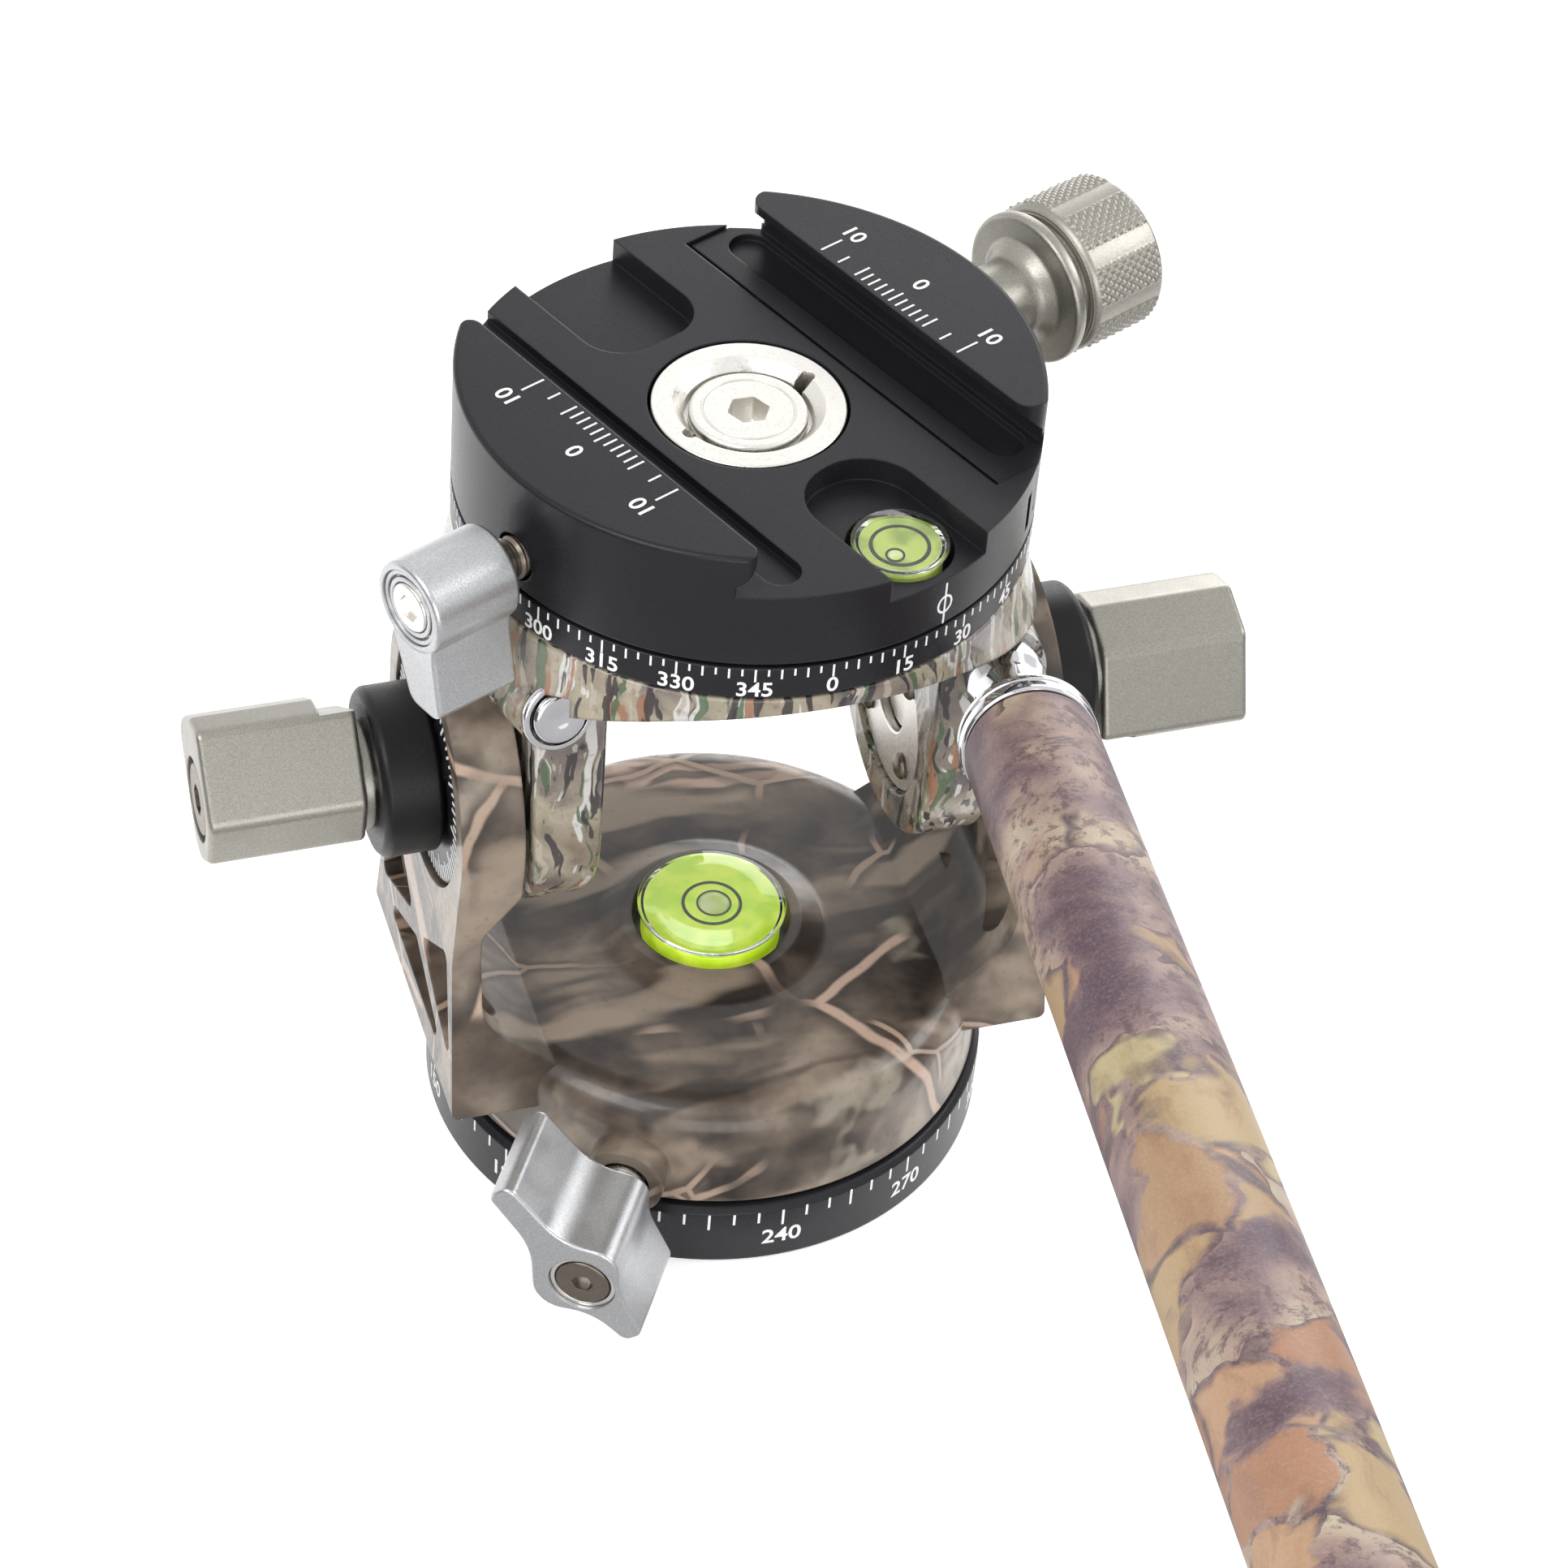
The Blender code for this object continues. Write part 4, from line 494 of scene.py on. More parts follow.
gaps = leaf.ease(leaf.noise(0.12, 3, 0.6, bent), 0.44, 0.58)
outline = leaf.ease(rim, 0.13, 0.012) * leaf.ease(pick, 0.48, 0.50) * gaps
ground = leaf.layer(outline * 0.85, ground, tone(84, 62, 74))
dust = leaf.noise(3.0, 3, 0.6)
ground = leaf.layer(leaf.ease(dust, 0.4, 0.8, 0, 0.18), ground, tone(214, 204, 196))
leaf.done(
    Base_Color=ground,
    Specular_IOR_Level=0.35,
    Roughness=leaf.ease(dust, 0.3, 0.7, 0.46, 0.56),
    Normal=leaf.relief(dust, 0.015, 0.2),
    Coat_Weight=0.12,
    Coat_Roughness=0.35)
print("film of the tube made")

# %% [markdown]
# ## Level fluid and clear plastic
# A bubble level is a cup of dyed spirit under a domed lid of clear plastic. The fluid gets a weak
# emission, a painted glow that makes it brighter than its lighting alone, and the lid is plain clear plastic.

# %% Level finishes
# The glow argument sets a painted glow: emission that brightens the fluid beyond its lighting.
def fluid(name, dark, light, glow):
    spirit = Finish(name, "level_vial")
    swirl = spirit.noise(0.35, 2)
    colour = spirit.layer(spirit.ease(swirl, 0.35, 0.65), dark, light)
    spirit.done(
        Base_Color=colour,
        Roughness=0.25,
        Normal=spirit.relief(swirl, 0.05, 0.2),
        Emission_Color=colour,
        Emission_Strength=glow)
    return spirit


bright_fluid = fluid("spirit_bright_green", tone(186, 224, 44), tone(216, 240, 78), 0.38)
pale_fluid = fluid("spirit_pale_green", tone(158, 182, 84), tone(202, 220, 112), 0.12)
# The bubble is a painted glint: a light colour with a weak glow stands for the light it catches.
painted_bubble_glint = fluid("bubble_glint", tone(206, 232, 120), tone(236, 246, 190), 0.15)
clear = Finish("clear_plastic", "level_vial")
ripple = clear.noise(0.5, 2)
clear.done(
    Base_Color=clear.layer(ripple, (0.93, 0.95, 0.92), (0.97, 0.99, 0.97)),
    Roughness=0.03,
    Normal=clear.relief(ripple, 0.01, 0.1),
    Transmission_Weight=1.0,
    IOR=1.42)
# This dark finish is the level's printed ring and also the painted shade round each bubble's edge.
dark_print_and_bubble_shade = Finish("level_dark_print_and_bubble_shade", "level_vial")
faded = dark_print_and_bubble_shade.noise(3.0, 2)
dark_print_and_bubble_shade.done(Base_Color=dark_print_and_bubble_shade.layer(faded, tone(24, 30, 20), tone(48, 56, 36)), Roughness=0.5)
print("level finishes made")

# %% [markdown]
# ## Shapes
# Turned pieces are profiles spun round an axis, and milled pieces are flat outlines given a
# thickness, then cut and joined. Each is drawn in its own seat: local Z points out along the
# piece's axis, in millimetres. Each finish wears its edges round; a few bars are bevelled as well.

# %% Shape helpers
SIDES = 160
MID_SIDES = 80
SMALL_SIDES = 48
ROUND_STEPS = 6
GAP = 0.3
OVER = 3.0
WELD = 0.004
FLAT_ANGLE = math.radians(0.3)


def seat(place, out, right):
    """The matrix that puts a piece drawn in millimetres in its place, in metres."""
    out = Vector(out).normalized()
    right = Vector(right)
    right = (right - out * right.dot(out)).normalized()
    turn = Matrix((right, out.cross(right), out)).transposed().to_4x4()
    return Matrix.Translation(Vector(place) * MM) @ turn @ Matrix.Scale(MM, 4)


UPRIGHT = seat((0, 0, 0), (0, 0, 1), (1, 0, 0))


def arc(cx, cy, radius, start, sweep, steps):
    turns = [start + sweep * step / steps for step in range(steps + 1)]
    return [(cx + radius * math.cos(turn), cy + radius * math.sin(turn)) for turn in turns]


def circle(radius, sides=MID_SIDES, middle=(0, 0)):
    return arc(*middle, radius, 0, math.tau * (sides - 1) / sides, sides - 1)


def rounded(corners, closed=True, steps=ROUND_STEPS):
    """Corners (x, y) or (x, y, radius) as points, with an arc where there is a radius."""
    points = []
    for index, corner in enumerate(corners):
        here = Vector(corner[:2])
        radius = corner[2] if len(corner) > 2 else 0
        if radius <= 0 or not closed and index in (0, len(corners) - 1):
            points.append(tuple(here))
            continue
        back = Vector(corners[index - 1][:2]) - here
        ahead = Vector(corners[(index + 1) % len(corners)][:2]) - here
        half = back.angle(ahead) / 2
        reach = min(radius / math.tan(half), back.length * 0.49, ahead.length * 0.49)
        radius = reach * math.tan(half)
        middle = (back.normalized() + ahead.normalized()).normalized()
        centre = here + middle * (radius / math.sin(half))
        first = here + back.normalized() * reach - centre
        last = here + ahead.normalized() * reach - centre
        start = math.atan2(first.y, first.x)
        sweep = (math.atan2(last.y, last.x) - start + math.pi) % math.tau - math.pi
        points += arc(centre.x, centre.y, radius, start, sweep, steps)
    return points


def formed(name, shape, place):
    """A bmesh in its seat, as an object of its own."""
    shape.transform(place)
    bmesh.ops.recalc_face_normals(shape, faces=shape.faces)
    return put(name, meshed(name, shape))


def turned(name, profile, place=UPRIGHT, sides=MID_SIDES, ring=False, steps=4):
    """Spin a profile of (radius, height) that runs down the outer side."""
    shape = bmesh.new()
    rows = []
    for radius, height in rounded(profile, ring, steps):
        if radius < GAP / 10:
            rows.append([shape.verts.new((0, 0, height))])
        else:
            rows.append([shape.verts.new((x, y, height)) for x, y in circle(radius, sides)])
    pairs = list(zip(rows, rows[1:]))
    if ring:
        pairs.append((rows[-1], rows[0]))
    for upper, lower in pairs:
        for k in range(sides):
            loop = (upper[k % len(upper)], lower[k % len(lower)],
                    lower[(k + 1) % sides % len(lower)], upper[(k + 1) % sides % len(upper)])
            shape.faces.new(list(dict.fromkeys(loop)))
    return formed(name, shape, place)


def slab(name, outline, low, high, place=UPRIGHT):
    """A flat outline with a thickness from low to high along the seat's Z."""
    shape = bmesh.new()
    under = [shape.verts.new((x, y, low)) for x, y in outline]
    over = [shape.verts.new((x, y, high)) for x, y in outline]
    shape.faces.new(over)
    shape.faces.new(reversed(under))
    for k in range(len(outline)):
        shape.faces.new((under[k - 1], under[k], over[k], over[k - 1]))
    return formed(name, shape, place)


def rod(name, radius, low, high, place=UPRIGHT, sides=MID_SIDES, middle=(0, 0)):
    return slab(name, circle(radius, sides, middle), low, high, place)


def settle(thing):
    """Turn an object's modifiers into its plain mesh."""
    graph = bpy.context.evaluated_depsgraph_get()
    mesh = bpy.data.meshes.new_from_object(thing.evaluated_get(graph))
    thing.modifiers.clear()
    thing.data = mesh
    return thing


def combine(target, operation, tools):
    for tool in tools:
        step = target.modifiers.new("step", "BOOLEAN")
        step.operation = operation
        step.solver = "EXACT"
        step.object = tool
    settle(target)
    for tool in tools:
        bpy.data.objects.remove(tool)
    return target


def cut(target, *tools):
    return combine(target, "DIFFERENCE", tools)


def fuse(target, *tools):
    return combine(target, "UNION", tools)


def overlap(target, *tools):
    return combine(target, "INTERSECT", tools)


def soften(thing, width=0.0, segments=2, limit=32):
    """Round the edges of a machined piece and shade it smooth between them."""
    shape = bmesh.new()
    shape.from_mesh(thing.data)
    bmesh.ops.remove_doubles(shape, verts=shape.verts, dist=WELD * MM)
    bmesh.ops.dissolve_limit(shape, angle_limit=FLAT_ANGLE, verts=shape.verts, edges=shape.edges)
    shape.to_mesh(thing.data)
    shape.free()
    if width:
        step = thing.modifiers.new("edges", "BEVEL")
        step.width = width * MM
        step.segments = segments
        step.limit_method = "ANGLE"
        step.angle_limit = math.radians(limit)
        step.use_clamp_overlap = False
        settle(thing)
    shape = bmesh.new()
    shape.from_mesh(thing.data)
    for face in shape.faces:
        face.smooth = True
    for edge in shape.edges:
        edge.smooth = len(edge.link_faces) == 2 and edge.calc_face_angle(0) < math.radians(limit)
    shape.to_mesh(thing.data)
    shape.free()
    even = thing.modifiers.new("even", "WEIGHTED_NORMAL")
    even.keep_sharp = True
    return settle(thing)


def fit(thing, body, finish, *nodes):
    """Paint a piece, hang it on its body and let it stand for the plain nodes that it refines."""
    thing.data.materials.clear()
    thing.data.materials.append(finish.material)
    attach(thing, body)
    if nodes:
        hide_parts(*nodes)
    return thing


def lathe(name, body, finish, nodes, profile, place=UPRIGHT, sides=MID_SIDES, ring=False, steps=4):
    """A turned piece, smoothed, painted and hung on its body."""
    return fit(soften(turned(name, profile, place, sides, ring, steps)), body, finish, *nodes)


def threaded(name, body, finish, place, turns, radius, length, ridge):
    """The ridge of a thread, laid on its stud or in its bore."""
    spiral = thread.bake(name, finish, place, Turns=turns, Radius=radius, Length=length, Ridge=ridge)
    return fit(soften(spiral), body, finish)


def hexagon(radius):
    return arc(0, 0, radius, 0, math.tau * 5 / 6, 5)


print("a circle has", len(circle(1)), "points")

# %% [markdown]
# ## Geometry Nodes for what repeats
# Scales, threads and knurls follow a rule, so each is a node tree with its sizes as inputs. A tree
# ends in Realize Instances and Set Material, and the result becomes a plain mesh.

# %% A small builder of node trees
class Recipe:
    """A Geometry Nodes tree with named inputs."""

    def __init__(self, name, sizes):
        self.tree = bpy.data.node_groups.new(name, "GeometryNodeTree")
        face = self.tree.interface
        self.keys = {}
        kinds = dict.fromkeys(sizes, "NodeSocketFloat") | {"Finish": "NodeSocketMaterial"}
        for label, kind in kinds.items():
            self.keys[label] = face.new_socket(label, in_out="INPUT", socket_type=kind).identifier
        face.new_socket("Geometry", in_out="OUTPUT", socket_type="NodeSocketGeometry")
        self.source = self.tree.nodes.new("NodeGroupInput")

    def size(self, label):
        return Signal(self, self.source.outputs[label])

    def node(self, kind, settings=None, inputs=None, output=0):
        made = self.tree.nodes.new(kind)
        for key, value in (settings or {}).items():
            setattr(made, key, value)
        for key, value in (inputs or {}).items():
            if isinstance(value, Signal):
                self.tree.links.new(value.socket, made.inputs[key])
            else:
                made.inputs[key].default_value = value
        return Signal(self, made.outputs[output])

    def math(self, operation, first, second=0.0):
        return self.node("ShaderNodeMath", {"operation": operation}, {0: first, 1: second})

    def vector(self, x=0.0, y=0.0, z=0.0):
        return self.node("ShaderNodeCombineXYZ", {}, {0: x, 1: y, 2: z})

    def close(self, geometry):
        real = self.node("GeometryNodeRealizeInstances", {}, {0: geometry})
        painted = self.node("GeometryNodeSetMaterial", {},
                            {"Geometry": real, "Material": self.size("Finish")})
        end = self.tree.nodes.new("NodeGroupOutput")
        self.tree.links.new(painted.socket, end.inputs[0])

    def bake(self, name, finish, place, **sizes):
        """Run the tree with these sizes and return its plain mesh, in its seat."""
        thing = put(name, bpy.data.meshes.new(name))
        step = thing.modifiers.new("recipe", "NODES")
        step.node_group = self.tree
        step[self.keys["Finish"]] = finish.material
        for label, value in sizes.items():
            step[self.keys[label.replace("_", " ")]] = float(value)
        settle(thing)
        thing.data.transform(place)
        return thing


# %% [markdown]
# A dial is one tick copied round a circle. At two chosen steps the tick is longer, which the tree
# reads from the remainder of the tick's number. The same tree lays ticks flat on a face when Flat
# is 1, or stands them on a rim when it is 0.

# %% The dial recipe
TICK_RAISE = 0.06
dial = Recipe("dial_ticks", ("Count", "Step", "First", "Radius", "Edge", "Width", "Raise", "Short",
                             "Middle", "Long", "Middle Every", "Long Every", "Flat"))
row = dial.node("GeometryNodeMeshLine", {}, {"Count": dial.math("ADD", dial.size("Count"))})
index = dial.node("GeometryNodeInputIndex")


def every(recipe, label):
    remainder = recipe.math("MODULO", index, recipe.size(label))
    return recipe.math("COMPARE", remainder, 0.0)


def pick(recipe, test, plain, special):
    return recipe.node("GeometryNodeSwitch", {"input_type": "FLOAT"}, {0: test, 1: plain, 2: special})


length = pick(dial, every(dial, "Middle Every"), dial.size("Short"), dial.size("Middle"))
length = pick(dial, every(dial, "Long Every"), length, dial.size("Long"))
angle = index * dial.size("Step") + dial.size("First")
flat = dial.size("Flat")
reach = dial.size("Radius") - length * 0.5 * flat
height = dial.size("Edge") - length * 0.5 * (1.0 - flat)
spot = dial.vector(reach * dial.math("COSINE", angle), reach * dial.math("SINE", angle), height)
placed = dial.node("GeometryNodeSetPosition", {}, {"Geometry": row, "Position": spot})
outward = pick(dial, flat, dial.size("Raise"), length)
upward = pick(dial, flat, length, dial.size("Raise"))
ticks = dial.node("GeometryNodeInstanceOnPoints", {}, {
    "Points": placed,
    "Instance": dial.node("GeometryNodeMeshCube"),
    "Rotation": dial.vector(0.0, 0.0, angle),
    "Scale": dial.vector(outward, dial.size("Width"), upward)})
dial.close(ticks)


def tick_scale(name, body, place, count, first, radius, edge, width, lengths, every, flat=0):
    """Ticks of three lengths round a circle, printed on a body."""
    ring = dial.bake(name, paint, place, Count=count, Step=math.tau / count, First=first, Radius=radius,
                     Edge=edge, Width=width, Raise=TICK_RAISE, Short=lengths[0], Middle=lengths[1],
                     Long=lengths[2], Middle_Every=every[0], Long_Every=every[1], Flat=flat)
    return fit(ring, body, paint)


print("dial recipe:", len(dial.tree.nodes), "nodes")

# %% [markdown]
# A thread is a small three-sided bar swept along a spiral that has one turn for each pitch.

# %% The thread recipe
thread = Recipe("thread_ridge", ("Turns", "Radius", "Length", "Ridge"))
spiral = thread.node("GeometryNodeCurveSpiral", {}, {
    "Resolution": 40, "Rotations": thread.size("Turns"), "Start Radius": thread.size("Radius"),
    "End Radius": thread.size("Radius"), "Height": thread.size("Length")})
ridge = thread.node("GeometryNodeCurvePrimitiveCircle", {}, {"Resolution": 3, "Radius": thread.size("Ridge")})
thread.close(thread.node("GeometryNodeCurveToMesh", {}, {
    "Curve": spiral, "Profile Curve": ridge, "Fill Caps": True}))
print("thread recipe:", len(thread.tree.nodes), "nodes")

# %% [markdown]
# Numbers stand on a rim or lie flat on a face. Blender's own text makes them: each string is
# centred, turned into a mesh, and then wrapped round the rim or laid in its seat.

# %% Numbers
BOLDER = 0.020
TYPE_SIZE = 1.38
PRINT_LIFT = 0.02


def digits(text, size, thick):
    """A centred string of figures as a loose bmesh, in millimetres."""
    letters = bpy.data.curves.new("figures", "FONT")
    letters.body = text
    letters.size = size * TYPE_SIZE
    letters.extrude = thick / 2
    letters.offset = size * BOLDER
    letters.align_x = "CENTER"
    letters.align_y = "CENTER"
    letters.resolution_u = 6
    thing = put("figures", letters)
    bpy.context.view_layer.update()
    mesh = bpy.data.meshes.new_from_object(thing.evaluated_get(bpy.context.evaluated_depsgraph_get()))
    bpy.data.objects.remove(thing)
    shape = bmesh.new()
    shape.from_mesh(mesh)
    return shape


def gathered(name, shapes, place):
    """Several loose shapes as one piece."""
    whole = bmesh.new()
    for shape in shapes:
        whole.from_mesh(meshed("part", shape))
    bmesh.ops.remove_doubles(whole, verts=whole.verts, dist=GAP / 1000)
    return formed(name, whole, place)


def numbers_round(name, pairs, radius, height, size, thick=0.05, place=UPRIGHT):
    """Figures wrapped round a rim: pairs of text and the angle that it faces."""
    shapes = []
    for text, facing in pairs:
        shape = digits(text, size, thick)
        for vertex in shape.verts:
            x, y, z = vertex.co
            turn = facing + x / radius
            vertex.co = ((radius + z) * math.cos(turn), (radius + z) * math.sin(turn), height + y)
        shapes.append(shape)
    return gathered(name, shapes, place)


def numbers_flat(name, rows, size, thick=0.05, place=UPRIGHT):
    """Figures laid on a face: rows of text, x, y, height and turn."""
    shapes = []
    for text, x, y, z, turn in rows:
        shape = digits(text, size, thick)
        shape.transform(Matrix.Translation((x, y, z)) @ Matrix.Rotation(turn, 4, "Z"))
        shapes.append(shape)
    return gathered(name, shapes, place)


FRONT = -math.pi / 2
print("figures are wrapped or laid flat")

# %% [markdown]
# ## The base
# The base is one turning with a degree scale on its rim. It stays on the monopod while the yoke
# pans on top of it. The scale has a tick for each five degrees and a figure for each thirty.

# %% Base plate and its scale
BASE_R = 29.8
BASE_H = 8.15
turning = turned("base_turning", [
    (29.2, BASE_H, 0.4),
    (BASE_R, 7.5, 0.3),
    (BASE_R, 0.6, 0.5),
    (29.2, 0, 0.4),
    (27.5, 0, 0.3),
    (27.2, 0.3, 0.2),
    (9.6, 0.3, 0.2),
    (9.2, 0, 0.2),
    (8.3, 0),
    (8.3, 8.3),
    (4.9, 8.3),
    (4.9, 12.0),
    (2.3, 12.0),
    (2.3, 15.15),
    (9.5, 15.15),
    (9.5, BASE_H),
    (12.2, BASE_H),
    (12.2, 7.35),
    (24.8, 7.35),
    (24.8, BASE_H),
], ring=True, sides=SIDES)
fit(soften(turning, 0, limit=28), "base", black, "base_plate")

BUSH_R = 4.8
BUSH_TOP = 8.0
lathe("monopod_bush_turning", "base", brass, ["monopod_bush"], [
    (8.0, BUSH_TOP), (8.0, 0.3), (5.4, 0.3, 0.1), (BUSH_R, 0.9), (BUSH_R, BUSH_TOP)], ring=True)
threaded("monopod_bush_thread", "base", brass, seat((0, 0, 1.0), (0, 0, 1), (1, 0, 0)),
         turns=4.2, radius=BUSH_R - 0.05, length=6.6, ridge=0.42)

tick_scale("base_ticks", "base", UPRIGHT, 72, FRONT, BASE_R, edge=7.5, width=0.26,
           lengths=(1.5, 1.5, 2.2), every=(3, 3))
marks = [(str((240 + 30 * k) % 360), FRONT + math.radians(30 * k)) for k in range(12)]
fit(numbers_round("base_numbers", marks, BASE_R, height=3.6, size=2.1), "base", paint)
print("base scale:", len(marks), "figures")

# %% [markdown]
# ## The yoke
# The yoke is the casting that pans on the base and holds the tilt axis between two arms. It is
# drawn as it would be machined: a turned body, two arms cut from one section, then bores, seats
# and the pockets that leave a truss of ribs.

# %% Yoke body and arms
TILT_H = 50.3
HANDS = (("right", 1), ("left", -1))
TILT = {side: seat((0, 0, TILT_H), (sign, 0, 0), (0, sign, 0)) for side, sign in HANDS}
ARM_TOP_R = 15.2
LOCK_TURN = math.radians(-32)
LOCK_OUT = Vector((math.sin(LOCK_TURN), -math.cos(LOCK_TURN), 0))
LOCK = seat((0, 0, 12.7), LOCK_OUT, (-LOCK_OUT.y, LOCK_OUT.x, 0))


def arm_outline():
    """The arm seen along the tilt axis, heights from that axis."""
    lean = math.atan2(1.6, 15.3)
    top = arc(0, 0, ARM_TOP_R, -lean, math.pi + 2 * lean, 40)
    return top + rounded([top[-1], (-13.6, -15.3, 12), (-16.9, -34.7)], False)[1:] + rounded(
        [(16.9, -34.7), (13.6, -15.3, 12), top[0]], False)[:-1]


def arm(side, sign):
    section = rounded([(25, 68), (25, 44, 2.3), (28.8, 38.5, 2.3), (28.8, 26.5, 6.1), (20.5, 20),
                       (20.5, 15.6), (32.3, 15.6, 0.8), (31.4, TILT_H), (31.4, 68)])
    blank = slab("arm", section, -20, 20, seat((0, 0, 0), (0, -sign, 0), (sign, 0, 0)))
    return overlap(blank, slab("arm_outline", arm_outline(), 0, 36, TILT[side]))


def truss_cuts(side):
    """Three pockets between crossing ribs, with a window through each."""
    low, middle, high = -30.3, -22.5, -13.8
    triangles = (
        ((-12.8, low), (12.8, low), (0, middle - 1.8)),
        ((14.6, low + 1.8), (11.3, high - 1.8), (1.8, middle)),
        ((-11.3, high - 1.8), (-14.6, low + 1.8), (-1.8, middle)),
    )
    tools = []
    for corners in triangles:
        cx = sum(x for x, y in corners) / 3
        cy = sum(y for x, y in corners) / 3
        window = [(cx + (x - cx) * 0.68, cy + (y - cy) * 0.68, 1.0) for x, y in corners]
        pocket = [(x, y, 1.0) for x, y in corners]
        tools.append(slab("pocket", rounded(pocket), 30.3, 36, TILT[side]))
        tools.append(slab("window", rounded(window), 25.8, 33, TILT[side]))
    return tools


yoke = turned("yoke_casting", [
    (0, 22.1),
    (9.6, 22.1, 0.5),
    (12.2, 20.9, 2.3),
    (28.3, 20.9, 4.0),
    (29.0, 8.85, 0.3),
    (28.6, 8.45, 0.2),
    (0, 8.45),
], sides=SIDES, steps=8)
fuse(yoke, arm(*HANDS[0]), arm(*HANDS[1]), rod("lock_boss", 4.2, 10, 31.5, LOCK))
cut(yoke,
    turned("spindle_bore", [(0, 19), (2.3, 19), (2.3, 15.45), (9.8, 15.45), (9.8, 5), (0, 5)]),
    rod("level_pocket", 8.4, 19.4, 25),
    rod("lock_bore", 2.8, 8, 36, LOCK))
for side, sign in HANDS:
    cut(yoke, *truss_cuts(side), rod("pivot_bore", 6.3, 22, 36, TILT[side]),
        rod("ring_seat", 12.6, 29.7, 36, TILT[side]))
fit(soften(yoke), "yoke", wood, "yoke")
print("yoke faces:", len(yoke.data.polygons))

# %% [markdown]
# Each arm carries an angle ring in its outer face, printed with radial ticks, and a black moulded
# collar that the tilt knob clamps against.

# %% Angle rings and collars
RING_FACE = 31.1
STUD_BORE_R = 4.3
for side, sign in HANDS:
    lathe("angle_ring_disc_" + side, "yoke", black, ["angle_ring_" + side], [
        (12.3, RING_FACE, 0.2), (12.3, 30.0), (STUD_BORE_R, 30.0), (STUD_BORE_R, RING_FACE)
    ], TILT[side], SIDES, True)
    tick_scale("angle_ticks_" + side, "yoke", TILT[side], 72, 0, 12.0, edge=RING_FACE + PRINT_LIFT,
               width=0.3, lengths=(1.6, 2.0, 2.6), every=(3, 6), flat=1)
    lathe("collar_moulding_" + side, "yoke", moulded, ["tilt_collar_" + side], [
        (8.1, 37.5, 0.6),
        (8.7, 36.9, 0.8),
        (8.7, 31.8, 0.4),
        (8.2, 31.4, 0.2),
        (STUD_BORE_R, 31.4),
        (STUD_BORE_R, 37.5),
    ], TILT[side], SIDES, True)
print("rings and collars on both arms")

# %% [markdown]
# ## Knobs of the tilt lock
# The two oblong knobs are slices of one extruded bar: a rounded section with a wing for the thumb.
# A cap screw closes the end of each.

# %% Tilt knobs
KNOB_BACK, KNOB_FACE = 38.7, 54.7
KNOB_RECESS = 53.1
KNOB_SECTION = [(-7.0, 6.0, 1.2), (2.8, 6.0, 1.6), (6.5, 1.5, 1.4),
                (6.5, -5.0, 3.0), (-8.3, -5.0, 3.0), (-8.3, 2.4, 1.4)]
SOCKET_SHARE = 0.65


def cap_screw(name, body, finish, node, place, radius, low, high, socket):
    """A cap screw's head with a hexagon socket, rounded at its rim."""
    head = turned(name, [(0, high), (radius, high, 0.25), (radius, low), (0, low)], place, SMALL_SIDES)
    cut(head, slab("socket", hexagon(socket), high - (high - low) * SOCKET_SHARE, high + OVER, place))
    return fit(soften(head), body, finish, node)


def grooved(name, radius, deep, place, height, finish, body):
    """A shallow turned ring on the end of a lever, round its screw."""
    inner = radius - 0.5
    return lathe(name, body, finish, [], [
        (radius, height + deep, 0.1), (radius, height), (inner, height), (inner, height + deep, 0.1)
    ], place, SMALL_SIDES, True)


for side, sign in HANDS:
    spin = Matrix.Rotation({"right": math.radians(70), "left": math.radians(-51)}[side], 4, "Z")
    place = TILT[side] @ spin
    knob = slab("tilt_knob_bar_" + side, rounded(KNOB_SECTION), KNOB_BACK, KNOB_FACE, place)
    soften(knob, 0.6, 4)
    cut(knob, slab("notch", [(-10, -10), (-6.8, -10), (-6.8, 10), (-10, 10)], 36, 42.3, place))
    fuse(knob, rod("hub", 5.6, 37.8, 39.4, place))
    cut(knob, rod("recess", 4.4, KNOB_RECESS, 57, place), rod("stud_hole", STUD_BORE_R, 35, 50, place))
    fit(soften(knob), "tilt_lock_" + side, warm_grey, "tilt_knob_" + side)
    cap_screw("tilt_cap_" + side, "tilt_lock_" + side, dark_steel, "tilt_screw_" + side, place,
              radius=3.7, low=53.4, high=54.6, socket=1.7)
    grooved("tilt_cap_ring_" + side, 4.35, 0.7, place, KNOB_RECESS, steel, "tilt_lock_" + side)
print("tilt knobs made")

# %% [markdown]
# ## Lock of the pan base
# The small silver knob is an S-shaped slice: a long wing up and a short wing down, with its stud
# behind and a socket screw in its face.

# %% Base lock
S_SHAPE = [(-8.0, 11.6, 1.1), (-10.3, 9.6, 1.1), (-5.6, 3.6, 8.0), (-5.0, -4.7, 3.4), (1.2, -4.1, 6.0),
           (4.8, -7.0, 1.1), (6.6, -5.4, 1.1), (3.7, 0.4, 6.0), (3.7, 5.2, 2.6), (-2.2, 5.2, 7.0)]
LOCK_BACK, LOCK_FACE = 34.5, 46.0
LOCK_STUD_R = 2.1
knob = soften(slab("base_lock_slice", rounded(S_SHAPE), LOCK_BACK, LOCK_FACE, LOCK), 0.35, 3)
cut(knob, rod("recess", 3.5, LOCK_FACE - 1.2, 49, LOCK, SMALL_SIDES),
    rod("stud_hole", 2.7, 31, 42, LOCK, SMALL_SIDES))
fit(soften(knob), "base_lock", silver, "base_lock_knob")
cap_screw("base_lock_cap", "base_lock", dark_steel, "base_lock_screw", LOCK,
          radius=2.85, low=43.6, high=45.8, socket=1.15)
grooved("base_lock_cap_ring", 3.45, 0.8, LOCK, 44.85, steel, "base_lock")
shaft = rod("base_lock_shaft", LOCK_STUD_R, 14.2, 41.5, LOCK, SMALL_SIDES)
fit(soften(shaft, 0.1), "base_lock", steel, "base_lock_stud")
